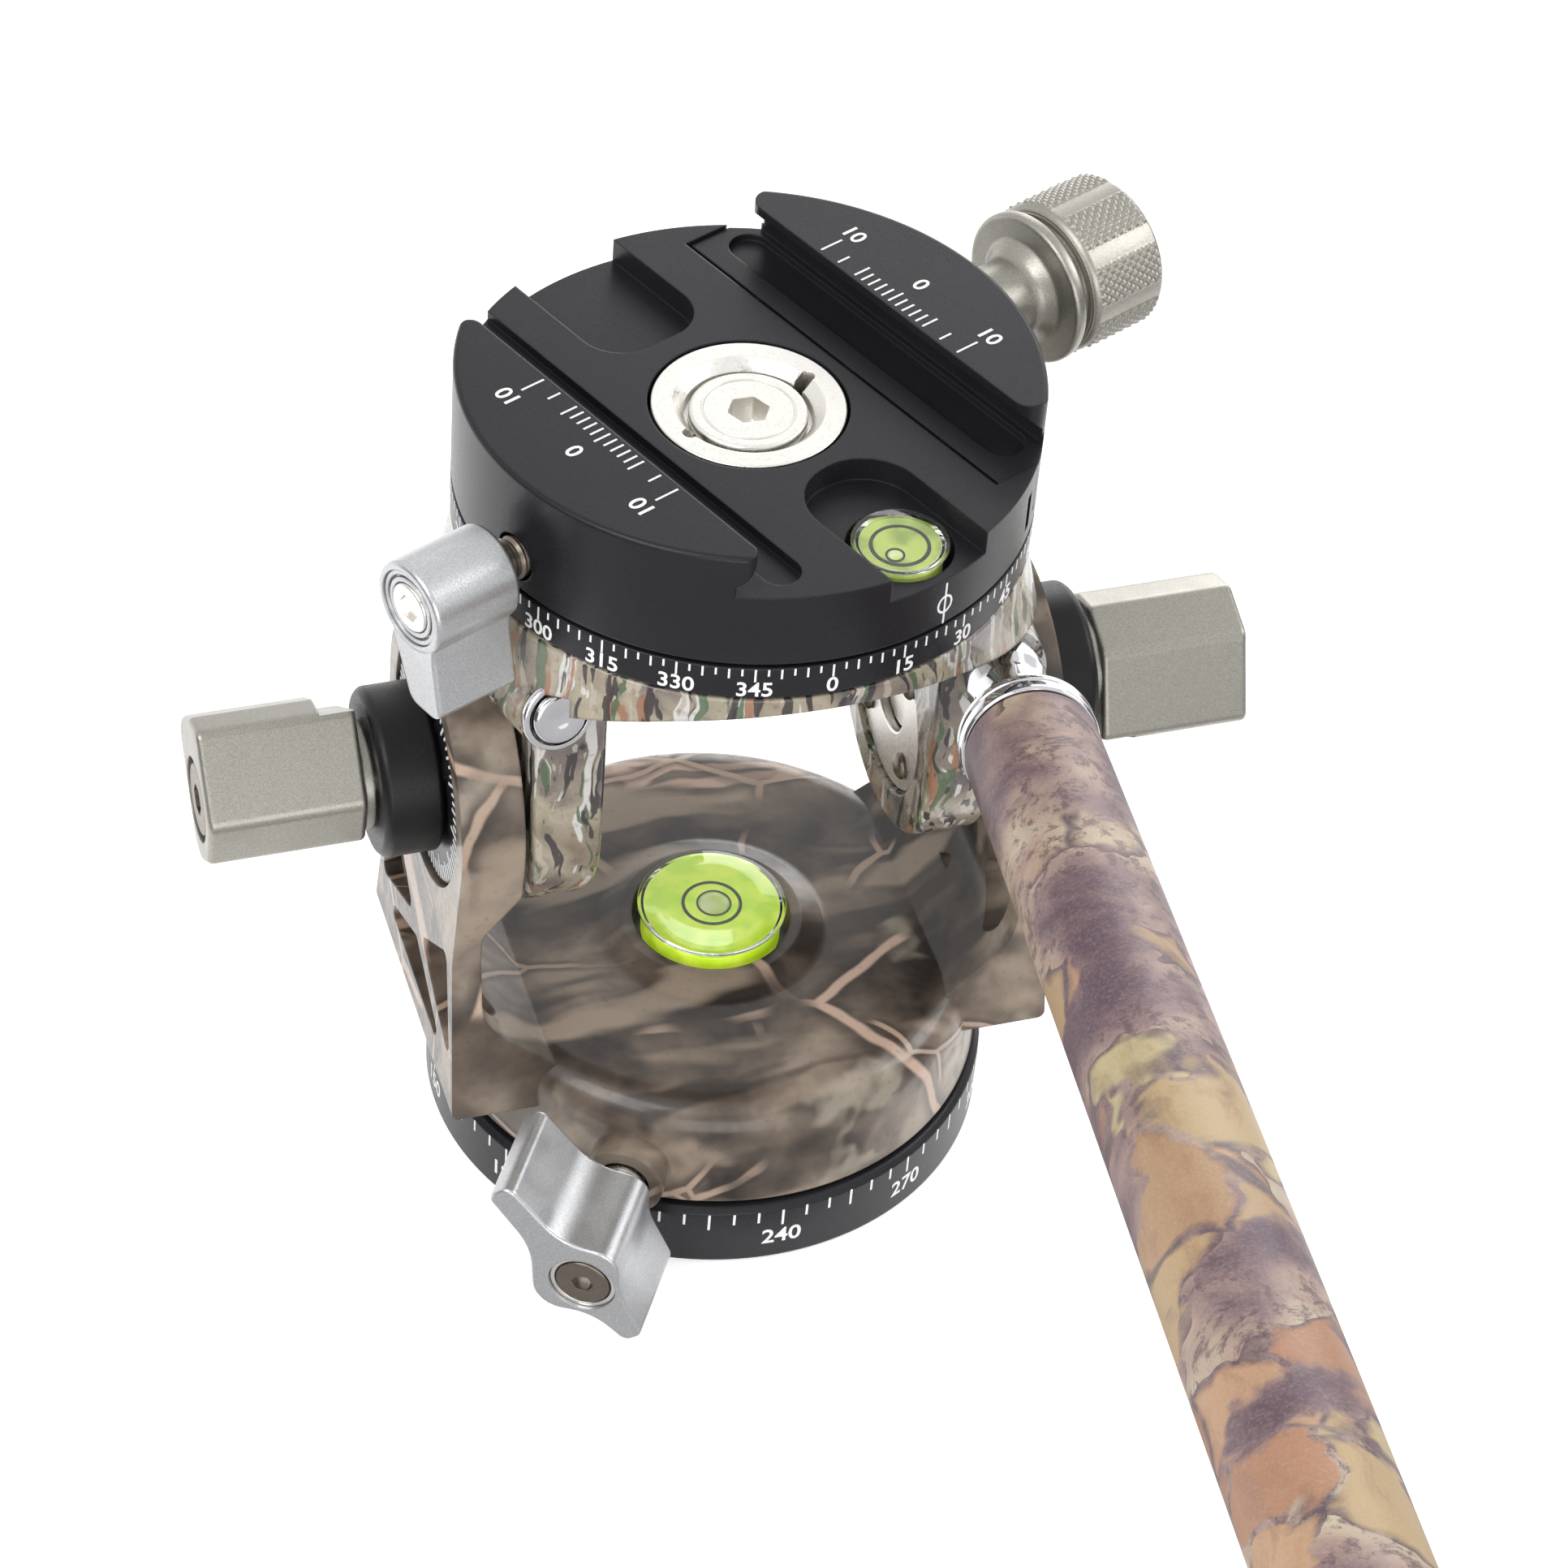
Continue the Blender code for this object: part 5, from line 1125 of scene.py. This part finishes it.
threaded("base_lock_thread", "base_lock", steel, LOCK @ Matrix.Translation((0, 0, 31)),
         turns=5, radius=LOCK_STUD_R, length=3.4, ridge=0.28)
print("base lock made")

# %% [markdown]
# ## The cradle
# The cradle tilts between the arms. Its round deck carries the clamp and a second degree scale,
# two cheeks hang from it to the tilt axis, and a boss on each cheek takes the handle.

# %% Cradle casting
CHEEK_IN, CHEEK_OUT = 17.0, 24.2
ARM_CLEAR_R = 16.5


def handle_seat(sign):
    heading = (sign * HANDLE_HEADING.x, HANDLE_HEADING.y, HANDLE_HEADING.z)
    return seat((sign * 25.35, 0, 62.27 + (3.4 if sign < 0 else 0)), heading, (1, 0, 0))


HANDLE = {side: handle_seat(sign) for side, sign in HANDS}
CRADLE_R = 28.5
cradle = turned("cradle_casting", [
    (0, 88.0),
    (7.5, 88.0, 0.3),
    (7.5, 82.1),
    (10.7, 82.1),
    (10.7, 81.4),
    (22.3, 81.4),
    (22.3, 82.1),
    (24.0, 82.1),
    (24.0, 78.4),
    (CRADLE_R, 78.4, 0.3),
    (CRADLE_R, 74.8),
    (30.7, 65.0),
    (0, 65.0),
], sides=SIDES, steps=8)
arch_rise = 8.7
arch_r = (CRADLE_R ** 2 + arch_rise ** 2) / (2 * arch_rise)
cut(cradle, rod("arch", arch_r, -36, 36, seat((0, 0, 76.7 - arch_r), (0, -1, 0), (1, 0, 0)), 2 * SIDES))
for side, sign in HANDS:
    cheek = slab("cheek", arc(0, 0, 15, -math.pi, math.pi, 48) + [(15, 27.3), (-15, 27.3)],
                 CHEEK_IN, CHEEK_OUT, TILT[side])
    soften(cheek, 1.0, 4)
    fuse(cradle, cheek, rod("handle_boss", 4.6 if sign > 0 else 3.8, 8.8, 16.5, HANDLE[side], SMALL_SIDES))
for side, sign in HANDS:
    cut(cradle,
        rod("arm_clearance", ARM_CLEAR_R, CHEEK_OUT + GAP, 36, TILT[side], SIDES),
        rod("plate_recess", 10.8, 14, 19, TILT[side]),
        rod("friction_recess", 9.1, 23.0, 28, TILT[side]),
        rod("stud_bore", STUD_BORE_R, 14, 28, TILT[side]),
        rod("socket_bore", 2.7, 11.8, 20, HANDLE[side], SMALL_SIDES))
cut(cradle, rod("plug_clearance", 3.1, 16.5, 20, HANDLE["left"], SMALL_SIDES),
    rod("axle_bore", 2.8, 78.2, 91))
fit(soften(cradle), "cradle", reed, "cradle")
print("cradle faces:", len(cradle.data.polygons))

# %% [markdown]
# The ring under the clamp is divided finely: a short tick each two and a half degrees, a middle one
# each five and a long one each fifteen, with a figure below each long tick.

# %% Cradle scale
lathe("cradle_scale_turning", "cradle", black, ["cradle_scale_ring"], [
    (CRADLE_R, 82.4, 0.2), (CRADLE_R, 78.7, 0.2), (24.3, 78.7), (24.3, 82.4)], sides=SIDES, ring=True)
SCALE_TWIST = FRONT + math.radians(0.8)
tick_scale("cradle_ticks", "cradle", UPRIGHT, 144, SCALE_TWIST, CRADLE_R, edge=82.3, width=0.2,
           lengths=(0.8, 1.15, 1.5), every=(2, 6))
marks = [(str(15 * k), SCALE_TWIST + math.radians(15 * k)) for k in range(24)]
fit(numbers_round("cradle_numbers", marks, CRADLE_R, height=79.75, size=1.75, thick=0.06), "cradle", paint)

# %% [markdown]
# Inside each cheek a steel plate with four small screws holds the friction disc and the tilt stud.
# A flattened bead is the screw's head, and the tree copies it round the plate.

# %% Clamp plates and their screws
SCREWS_R = 7.8
heads = Recipe("ring_of_heads", ("Count", "Radius", "Height", "Size"))
row = heads.node("GeometryNodeMeshCircle", {}, {
    "Vertices": heads.math("ADD", heads.size("Count")), "Radius": heads.size("Radius")})
turned_row = heads.node("GeometryNodeTransform", {}, {
    "Geometry": row, "Rotation": (0, 0, math.pi / 4),
    "Translation": heads.vector(0.0, 0.0, heads.size("Height"))})
bead = heads.node("GeometryNodeMeshUVSphere", {}, {"Segments": 20, "Rings": 10, "Radius": heads.size("Size")})
flat = heads.node("GeometryNodeTransform", {}, {"Geometry": bead, "Scale": (1, 1, 0.45)})
heads.close(heads.node("GeometryNodeInstanceOnPoints", {}, {"Points": turned_row, "Instance": flat}))

for side, sign in HANDS:
    plate = turned("clamp_plate_turning_" + side, [
        (10.5, 18.7), (10.5, 17.6, 0.25), (STUD_BORE_R, 17.6, 0.25), (STUD_BORE_R, 18.7)
    ], TILT[side], SIDES, True)
    holes = [rod("hole", 1.2, 16, 21, TILT[side], 20, (SCREWS_R * math.cos(t), SCREWS_R * math.sin(t)))
             for t in (math.pi * (k + 0.5) / 2 for k in range(4))]
    cut(plate, *holes)
    fit(soften(plate), "cradle", steel, "clamp_plate_" + side)
    screws = ["plate_screw_%s_%d" % (side, k) for k in range(1, 5)]
    domes = heads.bake("plate_screw_heads_" + side, dark_steel, TILT[side], Count=4, Radius=SCREWS_R,
                       Height=17.35, Size=1.45)
    fit(soften(domes), "cradle", dark_steel, *screws)
print("plates with", len(screws), "screws each")

# %% [markdown]
# ## The handle
# A chromed neck screws into the cradle and a ferrule joins it to the tube. The socket on the other
# side is spare and closed by a small plug, so that the handle can change hands.

# %% Handle
SOCKET_END = 12.1
TUBE_R = 6.6
TUBE_END = 198.2
place = HANDLE["right"]
lathe("handle_neck_turning", "cradle", chrome, ["handle_neck"], [
    (0, 32.6), (2.4, 32.6), (2.4, 29.6), (4.0, 29.6, 0.4), (3.6, 24.3, 4), (3.6, 22.0, 3), (4.0, 20.3, 0.4),
    (4.0, 16.8, 0.4), (2.4, 16.8), (2.4, SOCKET_END), (0, SOCKET_END)], place)
lathe("handle_ferrule_turning", "cradle", chrome, ["handle_ferrule"], [
    (0, 43.9), (5.1, 43.9, 0.4), (5.1, 32.9), (6.8, 32.9, 0.35), (6.8, 31.4, 0.2), (6.65, 31.3), (6.65, 31.1),
    (6.8, 31.0, 0.2), (6.8, 29.9, 0.5), (2.7, 29.9), (2.7, 32.9), (0, 32.9)], place, SIDES)
lathe("handle_tube_film", "cradle", leaf, ["handle_tube"], [
    (TUBE_R, TUBE_END, 0.2), (TUBE_R, 33.2, 0.3), (5.4, 33.2), (5.4, TUBE_END)], place, SIDES, True)
lathe("handle_cap_moulding", "cradle", moulded, ["handle_end_cap"], [
    (0, 207.5), (TUBE_R, 207.5, 4.0), (TUBE_R, 201.0, 0.2), (6.45, 200.8), (6.45, 200.4),
    (TUBE_R, 200.2, 0.2),
    (TUBE_R, 198.5, 0.2), (5.1, 198.5), (5.1, 190.5), (0, 190.5)], place, SIDES, steps=8)
lathe("socket_plug_turning", "cradle", chrome, ["handle_socket_plug"], [
    (0, 17.7), (0.9, 17.9), (2.8, 18.0, 0.6), (2.8, 16.8, 0.3), (2.4, 16.8), (2.4, SOCKET_END),
    (0, SOCKET_END)
], HANDLE["left"], SMALL_SIDES)
lathe("socket_plug_collar", "cradle", chrome, [], [
    (3.7, 17.4, 0.3), (3.7, 16.6, 0.2), (3.1, 16.6), (3.1, 17.4)], HANDLE["left"], SMALL_SIDES, True)
print("handle made")

# %% [markdown]
# ## The clamp
# The clamp pans on the cradle. Its block is a disc with a dovetail channel milled across it: one
# lip is part of the block, the other belongs to the sliding jaw. Both ends of the channel floor
# have a lower recess, and a level sits in the front one.

# %% Clamp seats and the block
CLAMP_TURN = math.radians(23.6)
ACROSS = Vector((math.cos(CLAMP_TURN), math.sin(CLAMP_TURN), 0))
ALONG = Vector((-math.sin(CLAMP_TURN), math.cos(CLAMP_TURN), 0))
CLAMP = seat((0, 0, 0), (0, 0, 1), ACROSS)
SECTION = seat((0, 0, 0), -ALONG, ACROSS)
JAW_AXIS_H = 88.6
JAW_AXIS = seat((0, 0, JAW_AXIS_H), ACROSS, ALONG)
PAN_LOCK = seat((0, 0, 86.2), -ACROSS, -ALONG)
CLAMP_R = 28.5
CLAMP_TOP = 95.7
PLATFORM = 91.1
LIP = 16.9
LEVEL_AT = -22.3
RECESS_FLOOR = 88.5


def jaw_tips(side):
    """Cutters that round the two points where a lip meets the rim."""
    nose = 1.2 if side < 0 else 1.9
    cx = LIP + nose
    cy = math.sqrt((CLAMP_R - nose) ** 2 - cx ** 2)
    far = (CLAMP_R + 2 * OVER) / (CLAMP_R - nose)
    bow = arc(cx, cy, nose, math.pi, math.atan2(cy, cx) - math.pi, 12)
    outline = [(LIP - OVER, cy)] + bow + [(cx * far, cy * far), (LIP - OVER, cy * far)]
    return [slab("tip", [(side * x, end * y) for x, y in outline], PLATFORM + 0.4, 99, CLAMP)
            for end in (1, -1)]


def end_recess(left, right, start, corner, sign):
    """A pocket with round inner corners that runs out at one end of the channel."""
    far = sign * 32
    start *= sign
    outline = rounded([(left, far), (left, start, corner), (right, start, corner), (right, far)], steps=12)
    return slab("recess", outline, RECESS_FLOOR, 97, CLAMP)


BLOCK_LOW = 82.8
block = turned("clamp_block", [
    (0, CLAMP_TOP), (CLAMP_R, CLAMP_TOP, 0.5), (CLAMP_R, BLOCK_LOW, 0.3), (0, BLOCK_LOW)], CLAMP, SIDES)
channel = [(-LIP, 99), (-LIP, 94.7), (-19.3, 92.3), (-19.3, PLATFORM), (32, PLATFORM), (32, 99)]
cut(block, slab("channel", channel, -32, 32, SECTION), *jaw_tips(-1))
slot = rounded([(-11.5, 32), (-15.5, 32), (-15.5, -22.5, 2), (-11.5, -22.5, 2)], steps=12)
pocket = [(11.2, -23.15), (32, -23.15), (32, 23.15), (11.2, 23.15)]
cut(block, slab("slot", slot, PLATFORM - 1, 92, CLAMP), slab("pocket", pocket, 85.0, 99, CLAMP),
    end_recess(-6.8, 5.8, 12.4, 4.5, 1), end_recess(-6.0, 5.8, 11.6, 5.7, -1),
    rod("level_pocket", 5.2, 84.5, 97, CLAMP, middle=(0, LEVEL_AT)),
    rod("centre_bore", 9.8, 88.0, 97, CLAMP, SIDES))
cut(block, rod("spindle_bore", 7.8, 80, 89, CLAMP), rod("lock_bore", 2.5, 6, 32, PAN_LOCK, SMALL_SIDES),
    rod("screw_thread", 1.55, 8.2, 15, JAW_AXIS, SMALL_SIDES),
    slab("side_notch", [(14.3, -32), (15.2, -32), (15.2, -20), (14.3, -20)], 84.7, 88.9, CLAMP))
cut(block, *[rod("guide_hole", 1.3, 7.5, 15, JAW_AXIS, SMALL_SIDES, (g, 0)) for g in (14, -14)])
fit(soften(block), "clamp", black, "clamp_body")
print("clamp block faces:", len(block.data.polygons))

# %% The sliding jaw
SHELF = PLATFORM - 0.35
jaw = slab("sliding_jaw", [(LIP, CLAMP_TOP), (LIP, 94.7), (19.3, 92.3), (19.3, SHELF), (11.85, SHELF),
                           (11.85, 85.3), (32, 85.3), (32, CLAMP_TOP)], -23, 23, SECTION)
disc = turned("jaw_disc", [(0, CLAMP_TOP), (CLAMP_R, CLAMP_TOP, 0.5), (CLAMP_R, 80), (0, 80)], CLAMP, SIDES)
overlap(jaw, disc)
trench = rounded([(14.3, -20.6, 2.1), (18.6, -20.6, 2.1), (18.6, 21.4, 2.1), (14.3, 21.4, 2.1)], steps=10)
cut(jaw, slab("trench", trench, 90.0, 92, CLAMP))
for tip in jaw_tips(1):
    cut(jaw, tip)
cut(jaw, rod("screw_hole", 1.3, 10, 32, JAW_AXIS, SMALL_SIDES),
    *[rod("guide_hole", 1.3, 10, 23.5, JAW_AXIS, SMALL_SIDES, (g, 0)) for g in (14, -14)])
fit(soften(jaw), "jaw", black, "moving_jaw")
print("jaw faces:", len(jaw.data.polygons))

# %% [markdown]
# Both jaws carry a ruler for centring the camera plate: ten millimetres each way from a middle
# line, with a comb of single millimetres in the middle. Each line is one row of the tree, and the
# figures are read from outside the jaw.

# %% Rulers on the jaws
ruler = Recipe("ruler_lines", ("Count", "Pitch", "Start", "Inner", "Length", "Width", "Height"))
row = ruler.node("GeometryNodeMeshLine", {}, {"Count": ruler.math("ADD", ruler.size("Count"))})
index = ruler.node("GeometryNodeInputIndex")
stride = ruler.size("Start") + index * ruler.size("Pitch")
middle = ruler.size("Inner") + ruler.size("Length") * 0.5
laid = ruler.node("GeometryNodeSetPosition", {}, {
    "Geometry": row, "Position": ruler.vector(middle, stride, ruler.size("Height"))})
ruler.close(ruler.node("GeometryNodeInstanceOnPoints", {}, {
    "Points": laid, "Instance": ruler.node("GeometryNodeMeshCube"),
    "Scale": ruler.vector(ruler.size("Length"), ruler.size("Width"), TICK_RAISE)}))

RULER_IN = 17.4
for name, body, side in (("fixed", "clamp", -1), ("sliding", "jaw", 1)):
    parts = (("end", 2, 20.0, -10.0, 2.7), ("middle", 3, 5.0, -5.0, 1.95), ("comb_low", 4, 1.0, -4.0, 1.6),
             ("comb_high", 4, 1.0, 1.0, 1.6), ("single", 2, 15.0, -7.5, 1.5))
    for label, count, pitch, start, length in parts:
        inner = RULER_IN if side > 0 else -RULER_IN - length
        rows = ruler.bake("%s_jaw_%s_lines" % (name, label), paint, CLAMP, Count=count, Pitch=pitch,
                          Start=start, Inner=inner, Length=length, Width=0.21, Height=CLAMP_TOP + PRINT_LIFT)
        fit(rows, body, paint)
    rows = [(text, side * 21.6, g, CLAMP_TOP + PRINT_LIFT, -side * math.pi / 2)
            for text, g in (("10", 10), ("0", 0), ("10", -10))]
    fit(numbers_flat(name + "_jaw_numbers", rows, 1.85, 0.06, CLAMP), body, paint)
print("rulers on both jaws")

# %% Index mark of the clamp
INDEX_AT = FRONT + math.radians(24.6)
PLAIN = Matrix.Identity(4)
mark = slab("index_line", [(-0.11, 83.0), (0.11, 83.0), (0.11, 88.0), (-0.11, 88.0)], -0.03, 0.03, PLAIN)
loop = turned("index_loop", [(0.95, 0.03), (0.95, -0.03), (0.73, -0.03), (0.73, 0.03)], PLAIN, 40, True)
for vertex in loop.data.vertices:
    vertex.co = (vertex.co.x, vertex.co.y * 1.15 + 85.4, vertex.co.z)
for thing in (mark, loop):
    for vertex in thing.data.vertices:
        x, y, z = vertex.co
        turn = INDEX_AT + x / CLAMP_R
        vertex.co = ((CLAMP_R + z) * math.cos(turn) * MM, (CLAMP_R + z) * math.sin(turn) * MM, y * MM)
    fit(thing, "clamp", paint)
print("index mark at", round(math.degrees(INDEX_AT), 1), "degrees")

# %% [markdown]
# A stainless ring with a chamfered seat and two spanner holes holds the clamp down, and the axle's
# cap screw sits in it.

# %% Centre ring and axle screw
ring = turned("centre_ring_turning", [(9.5, PLATFORM, 0.2), (9.5, 88.3), (2.8, 88.3), (2.8, 88.9),
                                      (6.3, 88.9), (6.3, 90.0), (7.4, PLATFORM, 0.1)], CLAMP, SIDES, True)
SLOT_IN, SLOT_OUT, SLOT_HALF, SLOT_ROUND = 6.0, 8.1, 0.75, 0.7
slots = [[(s * SLOT_IN, -SLOT_HALF, SLOT_ROUND), (s * SLOT_OUT, -SLOT_HALF, SLOT_ROUND),
          (s * SLOT_OUT, SLOT_HALF, SLOT_ROUND), (s * SLOT_IN, SLOT_HALF, SLOT_ROUND)] for s in (1, -1)]
holes = [slab("spanner", rounded(corners), 87, 97, CLAMP) for corners in slots]
cut(ring, *holes)
fit(soften(ring, 0.08), "clamp", steel, "clamp_centre_ring")
head = turned("axle_cap_screw", [
    (0, 90.4), (5.8, 90.4, 0.35), (5.8, 89.2), (2.5, 89.2), (2.5, 78.5), (0, 78.5)])
cut(head, slab("socket", hexagon(2.1), 87.6, 97, UPRIGHT))
cut(head, turned("turned_groove", [(4.6, 91), (4.6, 90.32), (4.4, 90.32), (4.4, 91)], ring=True))
fit(soften(head, 0.08), "cradle", steel, "clamp_axle_screw")
print("centre ring made")

# %% [markdown]
# ## Bubble levels
# Each level is the fluid, a printed ring on it, a bubble that is a squashed bead painted bright as a
# glint and ringed with painted shade at its edge, and a clear lid over them.

# %% Levels
def level_vial(name, body, node, place, radius, low, high, spirit, ring_r, bubble_r, bubble_at, dome):
    top = high - dome - 0.9
    under = top - 0.02
    lid_edge = high - dome

    def level_piece(label, finish, nodes, profile, where=place, sides=MID_SIDES, ring=False, steps=4):
        lathe(name + label, body, finish, nodes, profile, where, sides, ring, steps)

    level_piece("_fluid", spirit, [node], [(0, top), (radius - 0.7, top, 0.3), (radius - 0.7, low), (0, low)])
    level_piece("_lid", clear, [], [
        (0, high), (radius * 0.62, high - dome * 0.25, 3.0), (radius - 0.2, lid_edge, 0.4),
        (radius - 0.2, lid_edge - 0.15), (radius - 0.65, lid_edge - 0.2), (radius - 1.0, lid_edge - 0.7),
        (0, lid_edge - 0.7)], steps=8)
    level_piece("_ring", dark_print_and_bubble_shade, [], [
        (ring_r + 0.17, top + 0.06), (ring_r + 0.17, under), (ring_r - 0.17, under),
        (ring_r - 0.17, top + 0.06)
    ], ring=True)
    spot = place @ Matrix.Translation((*bubble_at, 0))
    # The bubble: a squashed bead painted bright as a glint.
    level_piece("_bubble", painted_bubble_glint, [], [
        (0, top + 0.2), (bubble_r * 0.6, top + 0.17), (bubble_r, under), (0, under)], spot, SMALL_SIDES)
    # The bubble's dark edge is painted shade, in the same dark finish as the printed ring.
    level_piece("_bubble_painted_shade", dark_print_and_bubble_shade, [], [
        (bubble_r + 0.14, top + 0.08), (bubble_r + 0.14, under), (bubble_r - 0.04, under),
        (bubble_r - 0.04, top + 0.08)], spot, SMALL_SIDES, True)


level_vial("yoke_bubble_level", "yoke", "yoke_level", UPRIGHT, radius=8.1, low=19.7, high=25.0,
           spirit=bright_fluid, ring_r=3.0, bubble_r=1.7, bubble_at=(0.2, -0.1), dome=1.4)
level_vial("clamp_bubble_level", "clamp", "clamp_level", CLAMP @ Matrix.Translation((0, LEVEL_AT, 0)),
           radius=4.9, low=84.8, high=89.3, spirit=pale_fluid, ring_r=2.75, bubble_r=0.8,
           bubble_at=(-1.3, -0.8), dome=0.2)
print("two levels")

# %% [markdown]
# ## The knurled knob
# The knob that drives the jaw has eight knurled panels with smooth lands between. A knurl follows a
# rule, so a tree makes it: a grid is rolled round the axis, and each point is lifted by the two
# slanting waves whose crossings leave diamonds.

# %% The knurl recipe
KNURL_FADE = 0.02
knurl = Recipe("knurled_sleeve", ("Radius", "Length", "Teeth", "Pitch", "Depth", "Panels", "Land", "Rim"))
grid = knurl.node("GeometryNodeMeshGrid", {}, {
    "Size X": 1.0, "Size Y": 1.0, "Vertices X": 641, "Vertices Y": 90})
spot = knurl.node("GeometryNodeInputPosition")
parts = knurl.node("ShaderNodeSeparateXYZ", {}, {0: spot})
across = parts + 0.5
up = Signal(knurl, parts.socket.node.outputs[1]) + 0.5
angle = across * math.tau
run = up * knurl.size("Length")
phase = angle * (knurl.size("Teeth") * 0.5)
slant = run * math.pi / knurl.size("Pitch")
waves = [knurl.math("ABSOLUTE", knurl.math("SINE", wave)) for wave in (phase + slant, phase - slant)]
diamond = knurl.math("MINIMUM", *waves) * knurl.size("Depth")
offset = knurl.math("ABSOLUTE", knurl.math("FRACT", across * knurl.size("Panels")) - 0.5)
edge = 0.5 - knurl.size("Land") * 0.5
panel = knurl.node("ShaderNodeMapRange", {"interpolation_type": "SMOOTHSTEP"}, {
    "Value": offset, "From Min": edge + KNURL_FADE, "From Max": edge - KNURL_FADE})
rim = knurl.size("Rim")
nearest = knurl.math("MINIMUM", run, knurl.size("Length") - run)
away = knurl.node("ShaderNodeMapRange", {"interpolation_type": "SMOOTHSTEP"}, {
    "Value": nearest, "From Min": rim * 0.8, "From Max": rim * 1.3})
rise = diamond * panel * away
short = knurl.math("MAXIMUM", 1.0 - nearest / rim, 0.0)
drop = knurl.math("POWER", short, 2.0) * rim
radius = knurl.size("Radius") - knurl.size("Depth") + rise - drop
rolled = knurl.node("GeometryNodeSetPosition", {}, {"Geometry": grid, "Position": knurl.vector(
    radius * knurl.math("COSINE", angle), radius * knurl.math("SINE", angle), run)})
joined = knurl.node("GeometryNodeMergeByDistance", {}, {"Geometry": rolled, "Distance": 0.001})
knurl.close(knurl.node("GeometryNodeSetShadeSmooth", {}, {"Geometry": joined, "Shade Smooth": True}))
print("knurl recipe:", len(knurl.tree.nodes), "nodes")

# %% Jaw knob
KNOB_LOW = 38.8
KNOB_HIGH = 48.5
lathe("jaw_knob_core", "jaw_turner", warm_grey, ["jaw_knob"], [
    (0, 45.5), (4.6, 48.1, 0.1), (4.7, KNOB_HIGH, 0.2), (7.5, KNOB_HIGH, 0.6), (7.5, 38.9), (6.6, 38.8),
    (6.6, 37.6),
    (8.0, 37.6, 0.4), (8.0, 36.2, 0.5), (5.4, 36.2, 0.8), (4.0, 34.8, 1.5), (4.0, 30.1, 0.3), (0, 30.1)
], JAW_AXIS, SIDES)
sleeve = knurl.bake("jaw_knob_knurl", warm_grey, JAW_AXIS @ Matrix.Translation((0, 0, KNOB_LOW)), Radius=8.2,
                    Length=KNOB_HIGH - KNOB_LOW, Teeth=56, Pitch=1.1, Depth=0.28, Panels=8,
                    Land=0.34, Rim=0.8)
fit(sleeve, "jaw_turner", warm_grey)
print("knurl faces:", len(sleeve.data.polygons))

lathe("jaw_washer_turning", "jaw_turner", steel, ["jaw_washer"], [
    (3.3, 29.8, 0.2), (3.3, 28.8, 0.2), (1.6, 28.8), (1.6, 29.8)], JAW_AXIS, ring=True)

# %% [markdown]
# ## Lock of the clamp
# A small silver lever with a hanging tail turns a threaded stud against the clamp's spindle. Fine
# rings are turned into its end round a socket screw.

# %% Clamp lock
TAIL = [(-4.7, 0), (-2.6, -4.6, 3.0), (0.2, -11.4, 1.8), (5.0, -11.4, 1.3), (3.4, -3.2, 8.0), (4.7, 0)]
LEVER_R = 4.7
LEVER_BACK, LEVER_FACE = 31.3, 41.0
RINGS_AT = 40.25
PAN_STUD_R = 1.9
lever = turned("clamp_lock_casting", [
    (0, LEVER_FACE), (LEVER_R, LEVER_FACE, 0.5), (LEVER_R, LEVER_BACK, 0.5), (0, LEVER_BACK)], PAN_LOCK)
fuse(lever, soften(slab("tail", rounded(TAIL), 31.5, 40.8, PAN_LOCK), 0.5, 3))
cut(lever, rod("recess", 3.9, 40.2, 44, PAN_LOCK), rod("stud_hole", 2.5, 28, 36.8, PAN_LOCK, SMALL_SIDES))
fit(soften(lever), "clamp_lock", silver, "clamp_lock_lever")
cap_screw("clamp_lock_cap", "clamp_lock", steel, "clamp_lock_screw", PAN_LOCK,
          radius=2.5, low=40.3, high=40.95, socket=1.4)
for label, radius in (("outer", 3.85), ("inner", 3.1)):
    grooved("clamp_lock_ring_" + label, radius, 0.55, PAN_LOCK, RINGS_AT, silver, "clamp_lock")
shaft = rod("clamp_lock_shaft", PAN_STUD_R, 11.4, 36.5, PAN_LOCK, SMALL_SIDES)
fit(soften(shaft, 0.1), "clamp_lock", dark_steel, "clamp_lock_stud")
threaded("clamp_lock_thread", "clamp_lock", dark_steel, PAN_LOCK @ Matrix.Translation((0, 0, 27.5)),
         turns=5.5, radius=PAN_STUD_R, length=3.7, ridge=0.3)
print("clamp lock made")

# %% [markdown]
# ## What is left of the plain model
# Inner pieces such as washers, pads, pins and the tilt studs are already the right shape. They only
# need their finishes.

# %% Finishes of the nodes that stay
plain = {
    washer_black: ("pan_thrust_washer", "clamp_thrust_washer", "friction_disc_left", "friction_disc_right"),
    brass: ("base_lock_pad", "clamp_lock_pad", "pivot_bush_left", "pivot_bush_right"),
    steel: ("pan_axle_screw", "pan_axle_washer", "tilt_stud_left", "tilt_stud_right", "guide_pin_front",
            "guide_pin_back", "jaw_screw"),
}
for finish, names in plain.items():
    for name in names:
        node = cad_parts[name]
        for place in node.material_slots:
            place.material = finish.material
shown = [name for name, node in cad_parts.items() if not node.hide_render]
print(len(shown), "plain nodes still show")
